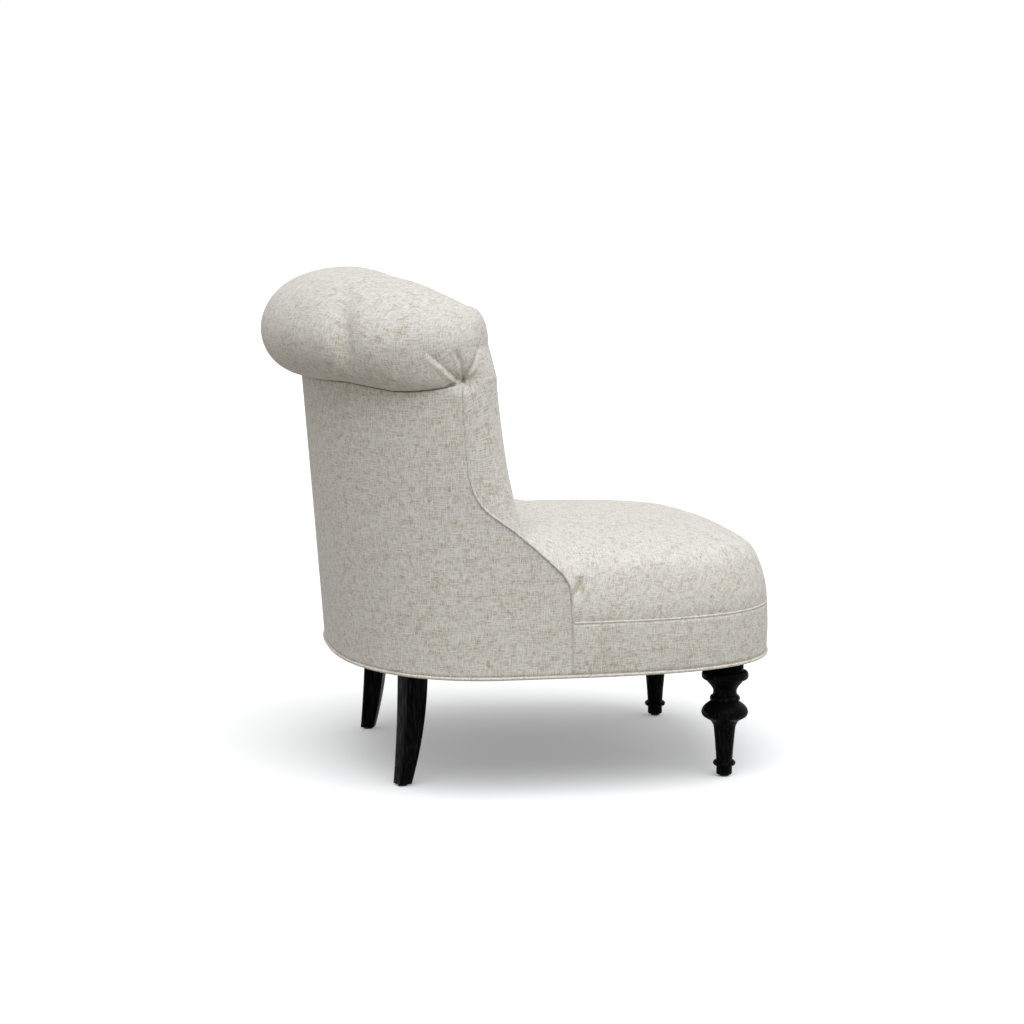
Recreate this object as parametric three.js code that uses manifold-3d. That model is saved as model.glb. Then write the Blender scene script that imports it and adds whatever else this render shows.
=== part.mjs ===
// Slipper chair: a low chair without arms, upholstered all over, with a tufted barrel back
// that rolls over at the top, a domed tight seat, two turned front legs and two swept rear legs.
// Millimetres, Z up. The sitter faces -Y and the sitter's left hand is on the +X side.

import * as THREE from 'three';
import { mergeVertices } from 'three/addons/utils/BufferGeometryUtils.js';
import Module from 'manifold-3d';

const wasm = await Module();
wasm.setup();

// Plan of the base, measured from its widest line, which lies across the chair at y = 0.
const baseHalfWidth = 359.3;
const baseFrontReach = 469;
const baseRearReach = 250;
const frontPowerShare = 3.455;
const rearPowerShare = 2.365;

// Heights, each measured from the one before it.
const legHeight = 191.5;
const bandHeight = 87.5;
const shoulderRise = 56;
const crownRise = 75;
const backRise = 456.5;
const rollCentreRise = 72;
const rollTopRise = 98;

// The back: a band bent round the rear half of the plan, with a roll along its top edge.
const rearRake = 37.5;
const rearThickness = 120;
const rearThicknessAtSeat = 160;
const wingThickness = 108;
const wingEndReach = 84;
const wingSweep = 53;
const wingNoseLength = 55;
const wingNoseSetback = 20;
const rollOverhang = 67;
const rollOverhangRun = 260;
const rollInnerBulge = 45;
const wingInnerBulge = 20;
const rollRidgeInset = 69;
const wingTopDrop = 47;
const wingTopRun = 300;
const rollPowerShare = 2.2;
const coverPadding = 24;

// The piped side seam: it climbs straight from the base, sweeps back over the seat's side
// and runs up the outside of the wing. The shares go from its low front end to the neck.
const seamFrontReach = 94.5;
const seamRearReach = 77.5;
const seamShares = [
  [0, 0], [0.008, 0.1], [0.05, 0.18], [0.17, 0.245], [0.5, 0.382],
  [0.8, 0.49], [0.92, 0.59], [0.965, 0.72], [1, 1],
];

// Tufts on the inside of the back.
const tuftSpacing = 170;
const tuftDepth = 15;
const tuftRadius = 26;
const creaseDepth = 6;
const creaseRadius = 12;
const tuftRowDrop = 104;
const upperTuftCount = 5;
const lowerTuftCount = 4;
const buttonRadius = 11;
const buttonThickness = 6;
const buttonSink = 2;

// Covers, clearances and piping.
const coverThickness = 3;
const seatCoverThickness = 8;
const clearance = 0.3;
const weltRadius = 3;
const weltStandOut = 0.8;
const sideWeltRadius = 1.8;
const overrun = 60;

// The seat pad's side and crown: how far in from the band and how far up to the crown each
// ring lies, as shares of the rim's width and of the pad's height.
const padRimWidth = 43;
const padRimShares = [[0.1, 0], [0.13, 0.2], [0.24, 0.4], [0.5, 0.62], [1, 0.745]];
const padCrownShares = [[0.85, 0.85], [0.64, 0.92], [0.4, 0.968], [0.2, 0.99]];
const padShoulderShare = 0.4;
const padMiddleReach = 150;

// Timber frame.
const frameInset = 4;
const railThickness = 30;
const railHeight = 74;
const railLift = 2;
const boardThickness = 10;
const boardBelowSeam = 7;
const postWidth = 38;
const postBehindSeam = 17;
const stileWidth = 28;
const stileFromMiddle = 118;
const frameDepth = 32;
const topRailHeight = 31;
const topRailBelowNeck = 2;
const waistRailHeight = 28;
const waistRailRise = 262;
const frontBlockLength = 110;
const frontBlockDepth = 56;
const rearBlockLength = 120;
const rearBlockDepth = 84;
const blockHeight = 42;
const webbingWidth = 50;
const webbingThickness = 1.4;
const webbingFirstRise = 150;
const webbingPitch = 100;
const webbingCount = 3;

// Springs and what lies on them.
const springCount = 5;
const springPitch = 80;
const springWireRadius = 1.9;
const springLoopWidth = 46;
const springWavelength = 64;
const springRise = 24;
const clipWidth = 16;
const clipLength = 14;
const clipPlate = 1.2;
const springEndInset = 15;
const burlapThickness = 1.5;
const burlapInset = 40;
const dustCoverThickness = 1;
const dustCoverInset = 7;

// Legs, their bolts and their glides. A leg's place is a share of the way round the base's
// edge, from the front middle, and a distance in from that edge.
const frontLegPlaceShare = 0.1224;
const frontLegInset = 44.9;
const frontLegRadius = 38.2;
const rearLegPlaceShare = 0.3899;
const rearLegInset = 63.8;
const rearLegTop = 37;
const rearLegFoot = 23;
const rearLegSweep = 17;
const rearLegTurnShare = 20 / 360;
const boltRadius = 4;
const boltInLeg = 30;
const boltInBlock = 34;
const glideRadius = 8;
const glideHeight = 3;

// The turned leg from its foot up, as shares of its greatest radius and of its height: the
// foot and its ring, the tapered shaft, the bulb, the bead, the flared neck and the top ring.
const frontLegShares = [
  [0.31, 0], [0.335, 0.01], [0.335, 0.072], [0.44, 0.08], [0.485, 0.098], [0.44, 0.116], [0.35, 0.127],
  [0.4, 0.27], [0.465, 0.406], [0.525, 0.442], [0.62, 0.469], [0.75, 0.484], [0.917, 0.505], [0.987, 0.531],
  [0.995, 0.552], [0.943, 0.578], [0.827, 0.605], [0.646, 0.633], [0.58, 0.641], [0.64, 0.66], [0.607, 0.683],
  [0.525, 0.693], [0.5, 0.725], [0.54, 0.751], [0.762, 0.808], [0.775, 0.819], [0.905, 0.827], [0.995, 0.845],
  [1, 0.871], [0.943, 0.897], [0.783, 0.91], [0.783, 1],
];

// A covered button's profile from its back to its crown, as shares of its radius and thickness.
const buttonShares = [[0, 0], [1, 0], [1, 0.4], [0.8, 0.75], [0.45, 0.94], [0, 1]];

// Facets: steps round and along the pieces.
const stationCount = 84;
const finePerStation = 40;
const halvingCount = 40;
const leastStepShare = 0.1;
const legSideCount = 16;
const roundSideCount = 12;
const buttonSideCount = 8;
const springSideCount = 4;
const springStepsPerWave = 6;
const springBendShare = 1.6;
const springStraightShare = 0.5;
const seamStepCount = 24;
const archStepCount = 10;
const weltSideCount = 5;
const rearLegStepCount = 6;
const stileStoreyCount = 5;
const wallStoreyCount = 6;
const columnsPerTuft = 4;
const endColumnCount = 4;
const noseStepCount = 3;
const fineAngles = [-90, -50, -18, 12, 38, 57, 71, 81];
const coarseAngles = [-90, -40, 0, 40, 78];

const linen = new THREE.MeshStandardMaterial({ color: 0xc8c6be, roughness: 0.95, metalness: 0 });
const lacquer = new THREE.MeshStandardMaterial({ color: 0x0c0b0b, roughness: 0.35, metalness: 0 });
const timber = new THREE.MeshStandardMaterial({ color: 0xb08f62, roughness: 0.8, metalness: 0 });
const foam = new THREE.MeshStandardMaterial({ color: 0xe6dcb8, roughness: 1, metalness: 0 });
const jute = new THREE.MeshStandardMaterial({ color: 0x9c7b4a, roughness: 1, metalness: 0 });
const steel = new THREE.MeshStandardMaterial({ color: 0x8f9296, roughness: 0.45, metalness: 0.9 });
const blackCloth = new THREE.MeshStandardMaterial({ color: 0x1c1c1d, roughness: 1, metalness: 0 });
const nylon = new THREE.MeshStandardMaterial({ color: 0x2a2622, roughness: 0.6, metalness: 0 });

// Levels worked out from the heights.
const baseLevel = legHeight;
const bandLevel = baseLevel + bandHeight;
const shoulderLevel = bandLevel + shoulderRise;
const crownLevel = shoulderLevel + crownRise;
const neckLevel = baseLevel + backRise;
const rollLevel = neckLevel + rollCentreRise;
const railBottom = baseLevel + railLift;
const railTop = railBottom + railHeight;
const topRailTop = neckLevel - topRailBelowNeck;
const topRailBottom = topRailTop - topRailHeight;

const group = new THREE.Group();

// Adds one named piece.
function addPiece(name, geometry, material) {
  const piece = new THREE.Mesh(geometry, material);
  piece.name = name;
  group.add(piece);
}

// The two sides of the chair, with the sign of their x.
const sides = [['left', 1], ['right', -1]];

const clamp = (value, low, high) => Math.min(high, Math.max(low, value));
const mix = (a, b, share) => a + (b - a) * share;

// Solids: closed meshes with shared points, joined and cut.
function toSolid(geometry) {
  const bare = geometry.clone();
  bare.deleteAttribute('normal');
  bare.deleteAttribute('uv');
  const merged = mergeVertices(bare);
  const vertProperties = new Float32Array(merged.attributes.position.array);
  const triVerts = new Uint32Array(merged.index.array);
  return new wasm.Manifold(new wasm.Mesh({ numProp: 3, vertProperties, triVerts }));
}

function toGeometry(solid) {
  const mesh = solid.getMesh();
  const geometry = new THREE.BufferGeometry();
  geometry.setAttribute('position', new THREE.BufferAttribute(new Float32Array(mesh.vertProperties), 3));
  geometry.setIndex(new THREE.BufferAttribute(new Uint32Array(mesh.triVerts), 1));
  return geometry;
}

function cut(geometry, ...cutters) {
  return toGeometry(cutters.reduce((rest, cutter) => rest.subtract(toSolid(cutter)), toSolid(geometry)));
}

function common(geometry, other) {
  return toGeometry(toSolid(geometry).intersect(toSolid(other)));
}

function join(geometry, ...others) {
  return toGeometry(others.reduce((whole, other) => whole.add(toSolid(other)), toSolid(geometry)));
}

// A closed mesh from points and triangles, turned so that its faces point out.
function closedMesh(points, triangles) {
  let volume = 0;
  for (const [a, b, c] of triangles) {
    const [p, q, r] = [points[a], points[b], points[c]];
    volume += p[0] * (q[1] * r[2] - q[2] * r[1]) - p[1] * (q[0] * r[2] - q[2] * r[0])
      + p[2] * (q[0] * r[1] - q[1] * r[0]);
  }
  const faces = volume < 0 ? triangles.map(([a, b, c]) => [a, c, b]) : triangles;
  const geometry = new THREE.BufferGeometry();
  geometry.setAttribute('position', new THREE.Float32BufferAttribute(points.flat(), 3));
  geometry.setIndex(faces.flat());
  return geometry;
}

// A loft through rings of the same number of points, closed by the caps' triangles.
function loft(rings, startCap, endCap) {
  const size = rings[0].length;
  const triangles = [];
  for (let ring = 0; ring < rings.length - 1; ring += 1) {
    for (let k = 0; k < size; k += 1) {
      const a = ring * size + k;
      const b = ring * size + (k + 1) % size;
      triangles.push([a, b, b + size], [a, b + size, a + size]);
    }
  }
  const last = (rings.length - 1) * size;
  for (const [a, b, c] of startCap) triangles.push([a, c, b]);
  for (const [a, b, c] of endCap) triangles.push([last + a, last + b, last + c]);
  return closedMesh(rings.flat(), triangles);
}

const fanCap = (size) => Array.from({ length: size - 2 }, (_, k) => [0, k + 1, k + 2]);

// A tube along a curve, with a many-sided section.
function tube(curve, radius, sideCount, steps) {
  const corners = Array.from({ length: sideCount }, (_, k) => {
    const angle = 2 * Math.PI * k / sideCount;
    return new THREE.Vector2(radius * Math.cos(angle), radius * Math.sin(angle));
  });
  const section = new THREE.Shape(corners);
  return new THREE.ExtrudeGeometry(section, { steps, bevelEnabled: false, extrudePath: curve });
}

// A turned piece upright on the point x, y, from a profile that starts and ends on the axis.
function turned(profile, sideCount, x, y) {
  const points = profile.map(([radius, z]) => new THREE.Vector2(radius, z));
  return new THREE.LatheGeometry(points, sideCount).rotateX(Math.PI / 2).translate(x, y, 0);
}

// The same piece on the chair's other side.
function mirrored(geometry) {
  const spots = geometry.clone().scale(-1, 1, 1).getAttribute('position');
  const points = Array.from({ length: spots.count }, (_, k) => [spots.getX(k), spots.getY(k), spots.getZ(k)]);
  const triangles = Array.from({ length: spots.count / 3 }, (_, k) => [3 * k, 3 * k + 1, 3 * k + 2]);
  return closedMesh(points, triangles);
}

// The plan outline as stations at equal steps round the base. A place on it is given by its
// turn: 0 at the front middle, about 0.3 at the sitter's left, 0.5 at the rear middle.
function outlineRadius(angle) {
  const [c, s] = [Math.abs(Math.cos(angle)), Math.abs(Math.sin(angle))];
  const atRear = Math.sin(angle) > 0;
  const power = atRear ? rearPowerShare : frontPowerShare;
  const reach = atRear ? baseRearReach : baseFrontReach;
  return ((c / baseHalfWidth) ** power + (s / reach) ** power) ** (-1 / power);
}

function outlineNormal(x, y) {
  const power = y > 0 ? rearPowerShare : frontPowerShare;
  const reach = y > 0 ? baseRearReach : baseFrontReach;
  const nx = Math.sign(x) * (Math.abs(x) / baseHalfWidth) ** (power - 1) / baseHalfWidth;
  const ny = Math.sign(y) * (Math.abs(y) / reach) ** (power - 1) / reach;
  const length = Math.hypot(nx, ny);
  return [nx / length, ny / length];
}

function makeStations() {
  const fineCount = finePerStation * stationCount;
  const fine = [];
  let run = 0;
  for (let k = 0; k <= fineCount; k += 1) {
    const angle = 2 * Math.PI * (k / fineCount - 0.25);
    const radius = outlineRadius(angle);
    const [x, y] = [radius * Math.cos(angle), radius * Math.sin(angle)];
    if (k > 0) run += Math.hypot(x - fine[k - 1].x, y - fine[k - 1].y);
    fine.push({ x, y, run });
  }
  const made = [];
  let k = 0;
  for (let station = 0; station < stationCount; station += 1) {
    const goal = run * station / stationCount;
    while (fine[k + 1].run < goal) k += 1;
    const share = (goal - fine[k].run) / (fine[k + 1].run - fine[k].run);
    const x = mix(fine[k].x, fine[k + 1].x, share);
    const y = mix(fine[k].y, fine[k + 1].y, share);
    const [nx, ny] = outlineNormal(x, y);
    made.push({ x, y, nx, ny });
  }
  return { stations: made, girth: run };
}

const { stations, girth } = makeStations();

// The outline's point and outward direction at a turn, straight between two stations.
function outlineAt(turn) {
  const place = ((turn % 1) + 1) % 1 * stationCount;
  const low = Math.floor(place) % stationCount;
  const [a, b, share] = [stations[low], stations[(low + 1) % stationCount], place - Math.floor(place)];
  return {
    x: mix(a.x, b.x, share), y: mix(a.y, b.y, share),
    nx: mix(a.nx, b.nx, share), ny: mix(a.ny, b.ny, share),
  };
}

// The turn on the sitter's left where the outline has this y.
function turnAtY(y) {
  let [low, high] = [0, 0.5];
  for (let step = 0; step < halvingCount; step += 1) {
    const middle = (low + high) / 2;
    if (outlineAt(middle).y < y) low = middle;
    else high = middle;
  }
  return low;
}

// How far a turn has come from the wing's end to the rear middle, 0 to 1, and in millimetres.
const wingTurn = turnAtY(wingEndReach);
const foldTurn = (turn) => Math.min(turn, 1 - turn);
const rearness = (turn) => clamp((foldTurn(turn) - wingTurn) / (0.5 - wingTurn), 0, 1);
const runFromWing = (turn) => Math.max(0, foldTurn(turn) - wingTurn) * girth;
const ease = (share) => Math.sin(Math.PI / 2 * share) ** 2;
const easeOut = (share) => 1 - (1 - clamp(share, 0, 1)) ** 2;

// How far the wall leans back at the neck at a turn, straight between two stations.
function leanAt(turn) {
  const low = Math.floor(turn * stationCount);
  const [before, after] = [low, low + 1].map((k) => ease(rearness(k / stationCount)));
  return rearRake * mix(before, after, turn * stationCount - low);
}

// A point on the upholstered wall, pushed out by off. The wall leans back at the rear.
function wallPoint(turn, off, z) {
  const { x, y, nx, ny } = outlineAt(turn);
  const lean = leanAt(turn) * Math.max(0, z - baseLevel) / backRise;
  return [x + nx * (off + lean), y + ny * (off + lean), z];
}

// The cap of a ring that runs up one side and down the other: quads between the two sides.
function stripCap(size) {
  const triangles = [];
  for (let k = 0; k < size / 2 - 1; k += 1) {
    triangles.push([k, k + 1, size - 2 - k], [k, size - 2 - k, size - 1 - k]);
  }
  return triangles;
}

// A strip that follows the wall from one turn to another, between two offsets and two heights.
function wallStrip(from, to, outer, inner, low, high, storeys = 1) {
  const turns = [from];
  const [first, last] = [Math.floor(from * stationCount) + 1, Math.ceil(to * stationCount) - 1];
  for (let k = first; k <= last; k += 1) {
    const turn = k / stationCount;
    if (Math.min(turn - from, to - turn) * stationCount > leastStepShare) turns.push(turn);
  }
  turns.push(to);
  const heights = Array.from({ length: storeys + 1 }, (_, k) => mix(low, high, k / storeys));
  const rings = turns.map((turn) => [
    ...heights.map((z) => wallPoint(turn, outer, z)),
    ...heights.map((z) => wallPoint(turn, inner, z)).reverse(),
  ]);
  const cap = stripCap(rings[0].length);
  return loft(rings, cap, cap);
}

// A strip for one side of the chair: turns are given for the left and mirrored for the right.
function sideStrip(sign, from, to, outer, inner, low, high, storeys = 1) {
  const [start, end] = sign > 0 ? [from, to] : [1 - to, 1 - from];
  return wallStrip(start, end, outer, inner, low, high, storeys);
}

// A flat plate with the plan's outline, inset by some amount.
function planPlate(inset, low, high) {
  const outline = stations.map((_, k) => {
    const [x, y] = wallPoint(k / stationCount, -inset, baseLevel);
    return new THREE.Vector2(x, y);
  });
  const shape = new THREE.Shape(outline);
  const plate = new THREE.ExtrudeGeometry(shape, { depth: high - low, bevelEnabled: false });
  return plate.translate(0, 0, low);
}

// A prism right across the chair from an outline in y and z.
function crossPrism(outline) {
  const shape = new THREE.Shape(outline.map(([y, z]) => new THREE.Vector2(y, z)));
  const width = 2 * (baseHalfWidth + rollOverhang + overrun);
  const prism = new THREE.ExtrudeGeometry(shape, { depth: width, bevelEnabled: false });
  return prism.rotateX(Math.PI / 2).rotateZ(Math.PI / 2).translate(-width / 2, 0, 0);
}

const frontFar = -(baseFrontReach + overrun);
const rearFar = baseRearReach + rearRake + rollOverhang + overrun;
const topFar = rollLevel + rollTopRise + overrun;

// The side seam as a curve of y and z.
const seamCurve = new THREE.SplineCurve(seamShares.map(([back, up]) => new THREE.Vector2(
  mix(-seamFrontReach, seamRearReach, back), mix(bandLevel, neckLevel, up))));
const seamPoints = seamCurve.getPoints(seamStepCount);

function seamHeight(y) {
  const after = seamPoints.findIndex((point) => point.x > y);
  if (after === 0) return bandLevel;
  if (after < 0) return neckLevel;
  const [a, b] = [seamPoints[after - 1], seamPoints[after]];
  return mix(a.y, b.y, (y - a.x) / (b.x - a.x));
}

// Everything in front of the seam, or behind it, moved to the rear by a shift.
function seamPrism(far, shift) {
  const edge = seamPoints.map((point) => [point.x + shift, point.y]);
  const [start, end] = [edge[0][0], edge[edge.length - 1][0]];
  return crossPrism([[far, 0], [start, 0], ...edge, [end, topFar], [far, topFar]]);
}

// Seat rails, sawn to the plan, meeting over the legs.
const railOuter = -frameInset;
const railInner = -(frameInset + railThickness);
const gapTurn = clearance / girth;
const railBetween = (from, to) => wallStrip(from, to, railOuter, railInner, railBottom, railTop);
const sideRail = railBetween(frontLegPlaceShare + gapTurn, rearLegPlaceShare - gapTurn);
addPiece('front_rail', railBetween(-frontLegPlaceShare, frontLegPlaceShare), timber);
addPiece('back_rail', railBetween(rearLegPlaceShare, 1 - rearLegPlaceShare), timber);
addPiece('side_rail_left', sideRail, timber);
addPiece('side_rail_right', railBetween(1 - rearLegPlaceShare + gapTurn, 1 - frontLegPlaceShare - gapTurn), timber);

// Corner blocks behind the rails, bored for the leg bolts.
const legTop = railBottom - clearance;
const boltTop = legTop + boltInBlock;
const rod = (radius, low, high) => [[0, low], [radius, low], [radius, high], [0, high]];
const boltHole = (x, y, low, high) => turned(rod(boltRadius + clearance, low, high), roundSideCount, x, y);

function cornerBlock(sign, turn, legX, legY, length, depth) {
  const half = length / 2 / girth;
  const outer = railInner - clearance;
  const blockTop = railBottom + blockHeight;
  const block = sideStrip(sign, turn - half, turn + half, outer, outer - depth, railBottom, blockTop);
  return cut(block, boltHole(legX, legY, railBottom - overrun, blockTop + overrun));
}

const [frontLegX, frontLegY] = wallPoint(frontLegPlaceShare, -frontLegInset, baseLevel);
const [rearLegX, rearLegTopY] = wallPoint(rearLegPlaceShare, -rearLegInset, baseLevel);
for (const [side, sign] of sides) {
  addPiece(`corner_block_front_${side}`, cornerBlock(sign, frontLegPlaceShare, sign * frontLegX, frontLegY,
    frontBlockLength, frontBlockDepth), timber);
  addPiece(`corner_block_rear_${side}`, cornerBlock(sign, rearLegPlaceShare, sign * rearLegX, rearLegTopY,
    rearBlockLength, rearBlockDepth), timber);
}

// The frame of the back: wing posts, rear stiles, a waist rail in three lengths and a top rail.
const boardInner = railOuter - boardThickness;
const postOuter = boardInner - clearance;
const frameInner = railOuter - frameDepth;
const postFrontTurn = turnAtY(seamRearReach + postBehindSeam);
const postRearTurn = postFrontTurn + postWidth / girth;
const stileFrontTurn = 0.5 - (stileFromMiddle + stileWidth / 2) / girth;
const stileRearTurn = 0.5 - (stileFromMiddle - stileWidth / 2) / girth;
const waistBottom = baseLevel + waistRailRise;
const waistTop = waistBottom + waistRailHeight;
addPiece('top_rail', wallStrip(postFrontTurn, 1 - postFrontTurn,
  railOuter, frameInner, topRailBottom, topRailTop), timber);
addPiece('waist_rail_rear', wallStrip(stileRearTurn + gapTurn, 1 - stileRearTurn - gapTurn,
  railOuter, frameInner, waistBottom, waistTop), timber);
for (const [side, sign] of sides) {
  const [low, high] = [railTop + clearance, topRailBottom - clearance];
  addPiece(`wing_post_${side}`, sideStrip(sign, postFrontTurn, postRearTurn,
    postOuter, frameInner, low, high), timber);
  addPiece(`back_stile_${side}`, sideStrip(sign, stileFrontTurn, stileRearTurn,
    railOuter, frameInner, low, high, stileStoreyCount), timber);
  addPiece(`waist_rail_${side}`, sideStrip(sign, postRearTurn + gapTurn, stileFrontTurn - gapTurn,
    railOuter, frameInner, waistBottom, waistTop), timber);
}

// Side boards: thin panels on the rails, sawn to run just below the side seam.
const boardFrontTurn = turnAtY(-seamFrontReach);
for (const [side, sign] of sides) {
  const blank = sideStrip(sign, boardFrontTurn, postRearTurn, railOuter, boardInner,
    railTop + clearance, topRailBottom - clearance);
  addPiece(`side_board_${side}`, cut(blank, seamPrism(frontFar, boardBelowSeam)), timber);
}

// Jute webbing across the inside of the posts and stiles.
for (let band = 0; band < webbingCount; band += 1) {
  const middle = baseLevel + webbingFirstRise + band * webbingPitch;
  const outer = frameInner - clearance;
  addPiece(`back_webbing_${band + 1}`, wallStrip(postFrontTurn, 1 - postFrontTurn,
    outer, outer - webbingThickness, middle - webbingWidth / 2, middle + webbingWidth / 2), jute);
}

// The space that the back's frame and outside cover take up behind the seam.
const frameSpaceInner = frameInner - webbingThickness - 3 * clearance;
const spaceFrontTurn = turnAtY(-seamFrontReach - overrun);
function spaceBehindSeam(inner, high, shift) {
  const strip = wallStrip(spaceFrontTurn, 1 - spaceFrontTurn, rollOverhang + overrun, inner, railBottom, high,
    wallStoreyCount);
  return common(strip, seamPrism(rearFar, shift));
}

// Sinuous springs: zigzag wires from the front rail to the back rail, arched in the middle.
const springSeat = railTop + clearance + clipPlate + springWireRadius;
const archFront = -(baseFrontReach + railInner);

// The y on the plan's outline at some x, at the front or at the rear.
function edgeY(x, off, atRear) {
  let [low, high] = atRear ? [turnAtY(0), 0.5] : [0, turnAtY(0)];
  for (let step = 0; step < halvingCount; step += 1) {
    const middle = (low + high) / 2;
    const isOutside = wallPoint(middle, off, baseLevel)[0] > x;
    if (isOutside === atRear) low = middle;
    else high = middle;
  }
  return wallPoint(low, off, baseLevel)[1];
}

const outerSpringX = springPitch * (springCount - 1) / 2;
const archRear = edgeY(outerSpringX, railInner, true);
function archHeight(y) {
  const share = clamp((y - archFront) / (archRear - archFront), 0, 1);
  return springSeat + springRise * 4 * share * (1 - share);
}

class SinuousCurve extends THREE.Curve {
  constructor(x, front, rear) {
    super();
    [this.x, this.front, this.rear] = [x, front, rear];
  }

  getPoint(t, target = new THREE.Vector3()) {
    const y = mix(this.front, this.rear, t);
    const fromEnd = Math.min(y - this.front, this.rear - y);
    const swing = springLoopWidth / 2 * clamp(fromEnd / springWavelength - springStraightShare, 0, 1);
    const phase = 2 * Math.PI * (y - this.front) / springWavelength;
    return target.set(this.x + swing * Math.tanh(springBendShare * Math.sin(phase)), y, archHeight(y));
  }
}

const clipHeight = 2 * (clipPlate + springWireRadius);
for (let spring = 0; spring < springCount; spring += 1) {
  const x = (spring - (springCount - 1) / 2) * springPitch;
  const front = edgeY(Math.abs(x), railOuter - springEndInset, false);
  const rear = edgeY(Math.abs(x), railOuter - springEndInset, true);
  const steps = Math.round((rear - front) / springWavelength * springStepsPerWave);
  const wire = tube(new SinuousCurve(x, front, rear), springWireRadius, springSideCount, steps);
  const clips = [front, rear].map((y) => new THREE.BoxGeometry(clipWidth, clipLength, clipHeight)
    .translate(x, y, springSeat));
  addPiece(`seat_spring_${spring + 1}`, join(wire, ...clips), steel);
}

// Burlap over the springs, and the space below everything that lies on it.
const archLine = (rise) => Array.from({ length: archStepCount + 1 }, (_, k) => {
  const y = mix(archFront, archRear, k / archStepCount);
  return [y, archHeight(y) + rise];
});
const burlapRise = springWireRadius + clearance + burlapThickness / 2;
const paddingRise = burlapRise + burlapThickness + clearance;
const burlapTop = burlapRise + burlapThickness;
const burlapSection = crossPrism([
  [frontFar, springSeat + burlapRise], ...archLine(burlapRise), [rearFar, springSeat + burlapRise],
  [rearFar, springSeat + burlapTop], ...archLine(burlapTop).reverse(), [frontFar, springSeat + burlapTop],
]);
addPiece('seat_burlap', common(burlapSection, planPlate(burlapInset, railBottom, crownLevel)), jute);
const underPadding = crossPrism([
  [frontFar, 0], [frontFar, springSeat + paddingRise], ...archLine(paddingRise),
  [rearFar, springSeat + paddingRise], [rearFar, 0],
]);

// The padded back as rings from the deck up: on the wall at heights, on the roll at angles.
const tuftLevel = neckLevel - tuftRowDrop;
const noseAngles = Array.from({ length: noseStepCount }, (_, k) => Math.PI / 2 * (1 - k / noseStepCount));
const columnTurn = tuftSpacing / columnsPerTuft / girth;
const flatColumnCount = columnsPerTuft * (upperTuftCount - 1) / 2;
const lastColumn = flatColumnCount + endColumnCount;

function endTurnAt(z) {
  const low = clamp((neckLevel - z) / (neckLevel - crownLevel), 0, 1);
  return turnAtY(wingEndReach - wingSweep * low ** 2);
}

function turnOfColumn(column, endTurn) {
  const size = Math.abs(column);
  const flat = Math.min(size, flatColumnCount) * columnTurn;
  const share = Math.max(0, size - flatColumnCount) / endColumnCount;
  return 0.5 + Math.sign(column) * mix(flat, 0.5 - endTurn, share);
}

// Buttons in two staggered rows, as distances along the outline from the rear middle.
const tuftRow = (count) => Array.from({ length: count }, (_, k) => (k - (count - 1) / 2) * tuftSpacing);
const tufts = [
  ...tuftRow(upperTuftCount).map((along) => [along, neckLevel]),
  ...tuftRow(lowerTuftCount).map((along) => [along, tuftLevel]),
];

// Creases: diamonds between the rows, pleats up over the roll, channels down to the seat.
const creases = [];
for (const [along, z] of tufts) {
  if (z === neckLevel) {
    creases.push([[along, z], [along, topFar]]);
    for (const [other, lower] of tufts) {
      const isNext = lower === tuftLevel && Math.abs(Math.abs(other - along) - tuftSpacing / 2) < clearance;
      if (isNext) creases.push([[along, z], [other, lower]]);
    }
  } else {
    creases.push([[along, z], [along, 0]]);
  }
}

function distanceToLine(point, [start, end]) {
  const [dx, dz] = [end[0] - start[0], end[1] - start[1]];
  const share = clamp(((point[0] - start[0]) * dx + (point[1] - start[1]) * dz) / (dx * dx + dz * dz), 0, 1);
  return Math.hypot(point[0] - start[0] - share * dx, point[1] - start[1] - share * dz);
}

function tuftAt(turn, z) {
  const point = [(turn - 0.5) * girth, z];
  const buttonPull = tufts.map(([along, level]) => tuftDepth
    * Math.exp(-((Math.hypot(point[0] - along, point[1] - level) / tuftRadius) ** 2)));
  const creasePull = creases.map((crease) => creaseDepth
    * Math.exp(-((distanceToLine(point, crease) / creaseRadius) ** 2)));
  return Math.max(...buttonPull, ...creasePull);
}

// The back's outer and inner offsets and its height at a turn on one level.
function backSection(turn, level, inset) {
  const share = ease(rearness(turn));
  const above = clamp(((level.z ?? neckLevel) - crownLevel) / (neckLevel - crownLevel), 0, 1);
  const thickness = mix(wingThickness, mix(rearThicknessAtSeat, rearThickness, above), share);
  if (level.z !== undefined) {
    return { outer: -inset, inner: inset - thickness, z: level.z, leanZ: level.z };
  }
  const angle = level.angle * Math.PI / 180;
  const overhang = rollOverhang * easeOut(runFromWing(turn) / rollOverhangRun);
  const bulge = mix(wingInnerBulge, rollInnerBulge, share);
  if (level.angle <= 0) {
    return {
      outer: overhang * Math.cos(angle) - inset,
      inner: inset - thickness - bulge * Math.sin(Math.PI / 2 * (1 + Math.sin(angle))),
      z: rollLevel + (rollCentreRise - inset) * Math.sin(angle),
      leanZ: neckLevel,
    };
  }
  const across = Math.cos(angle) ** (2 / rollPowerShare);
  const up = Math.sin(angle) ** (2 / rollPowerShare);
  const rise = rollTopRise - wingTopDrop * (1 - easeOut(runFromWing(turn) / wingTopRun));
  return {
    outer: mix(-rollRidgeInset, overhang - inset, across),
    inner: mix(-rollRidgeInset, inset - thickness - bulge, across),
    z: rollLevel + (rise - inset) * up,
    leanZ: neckLevel,
  };
}

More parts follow.
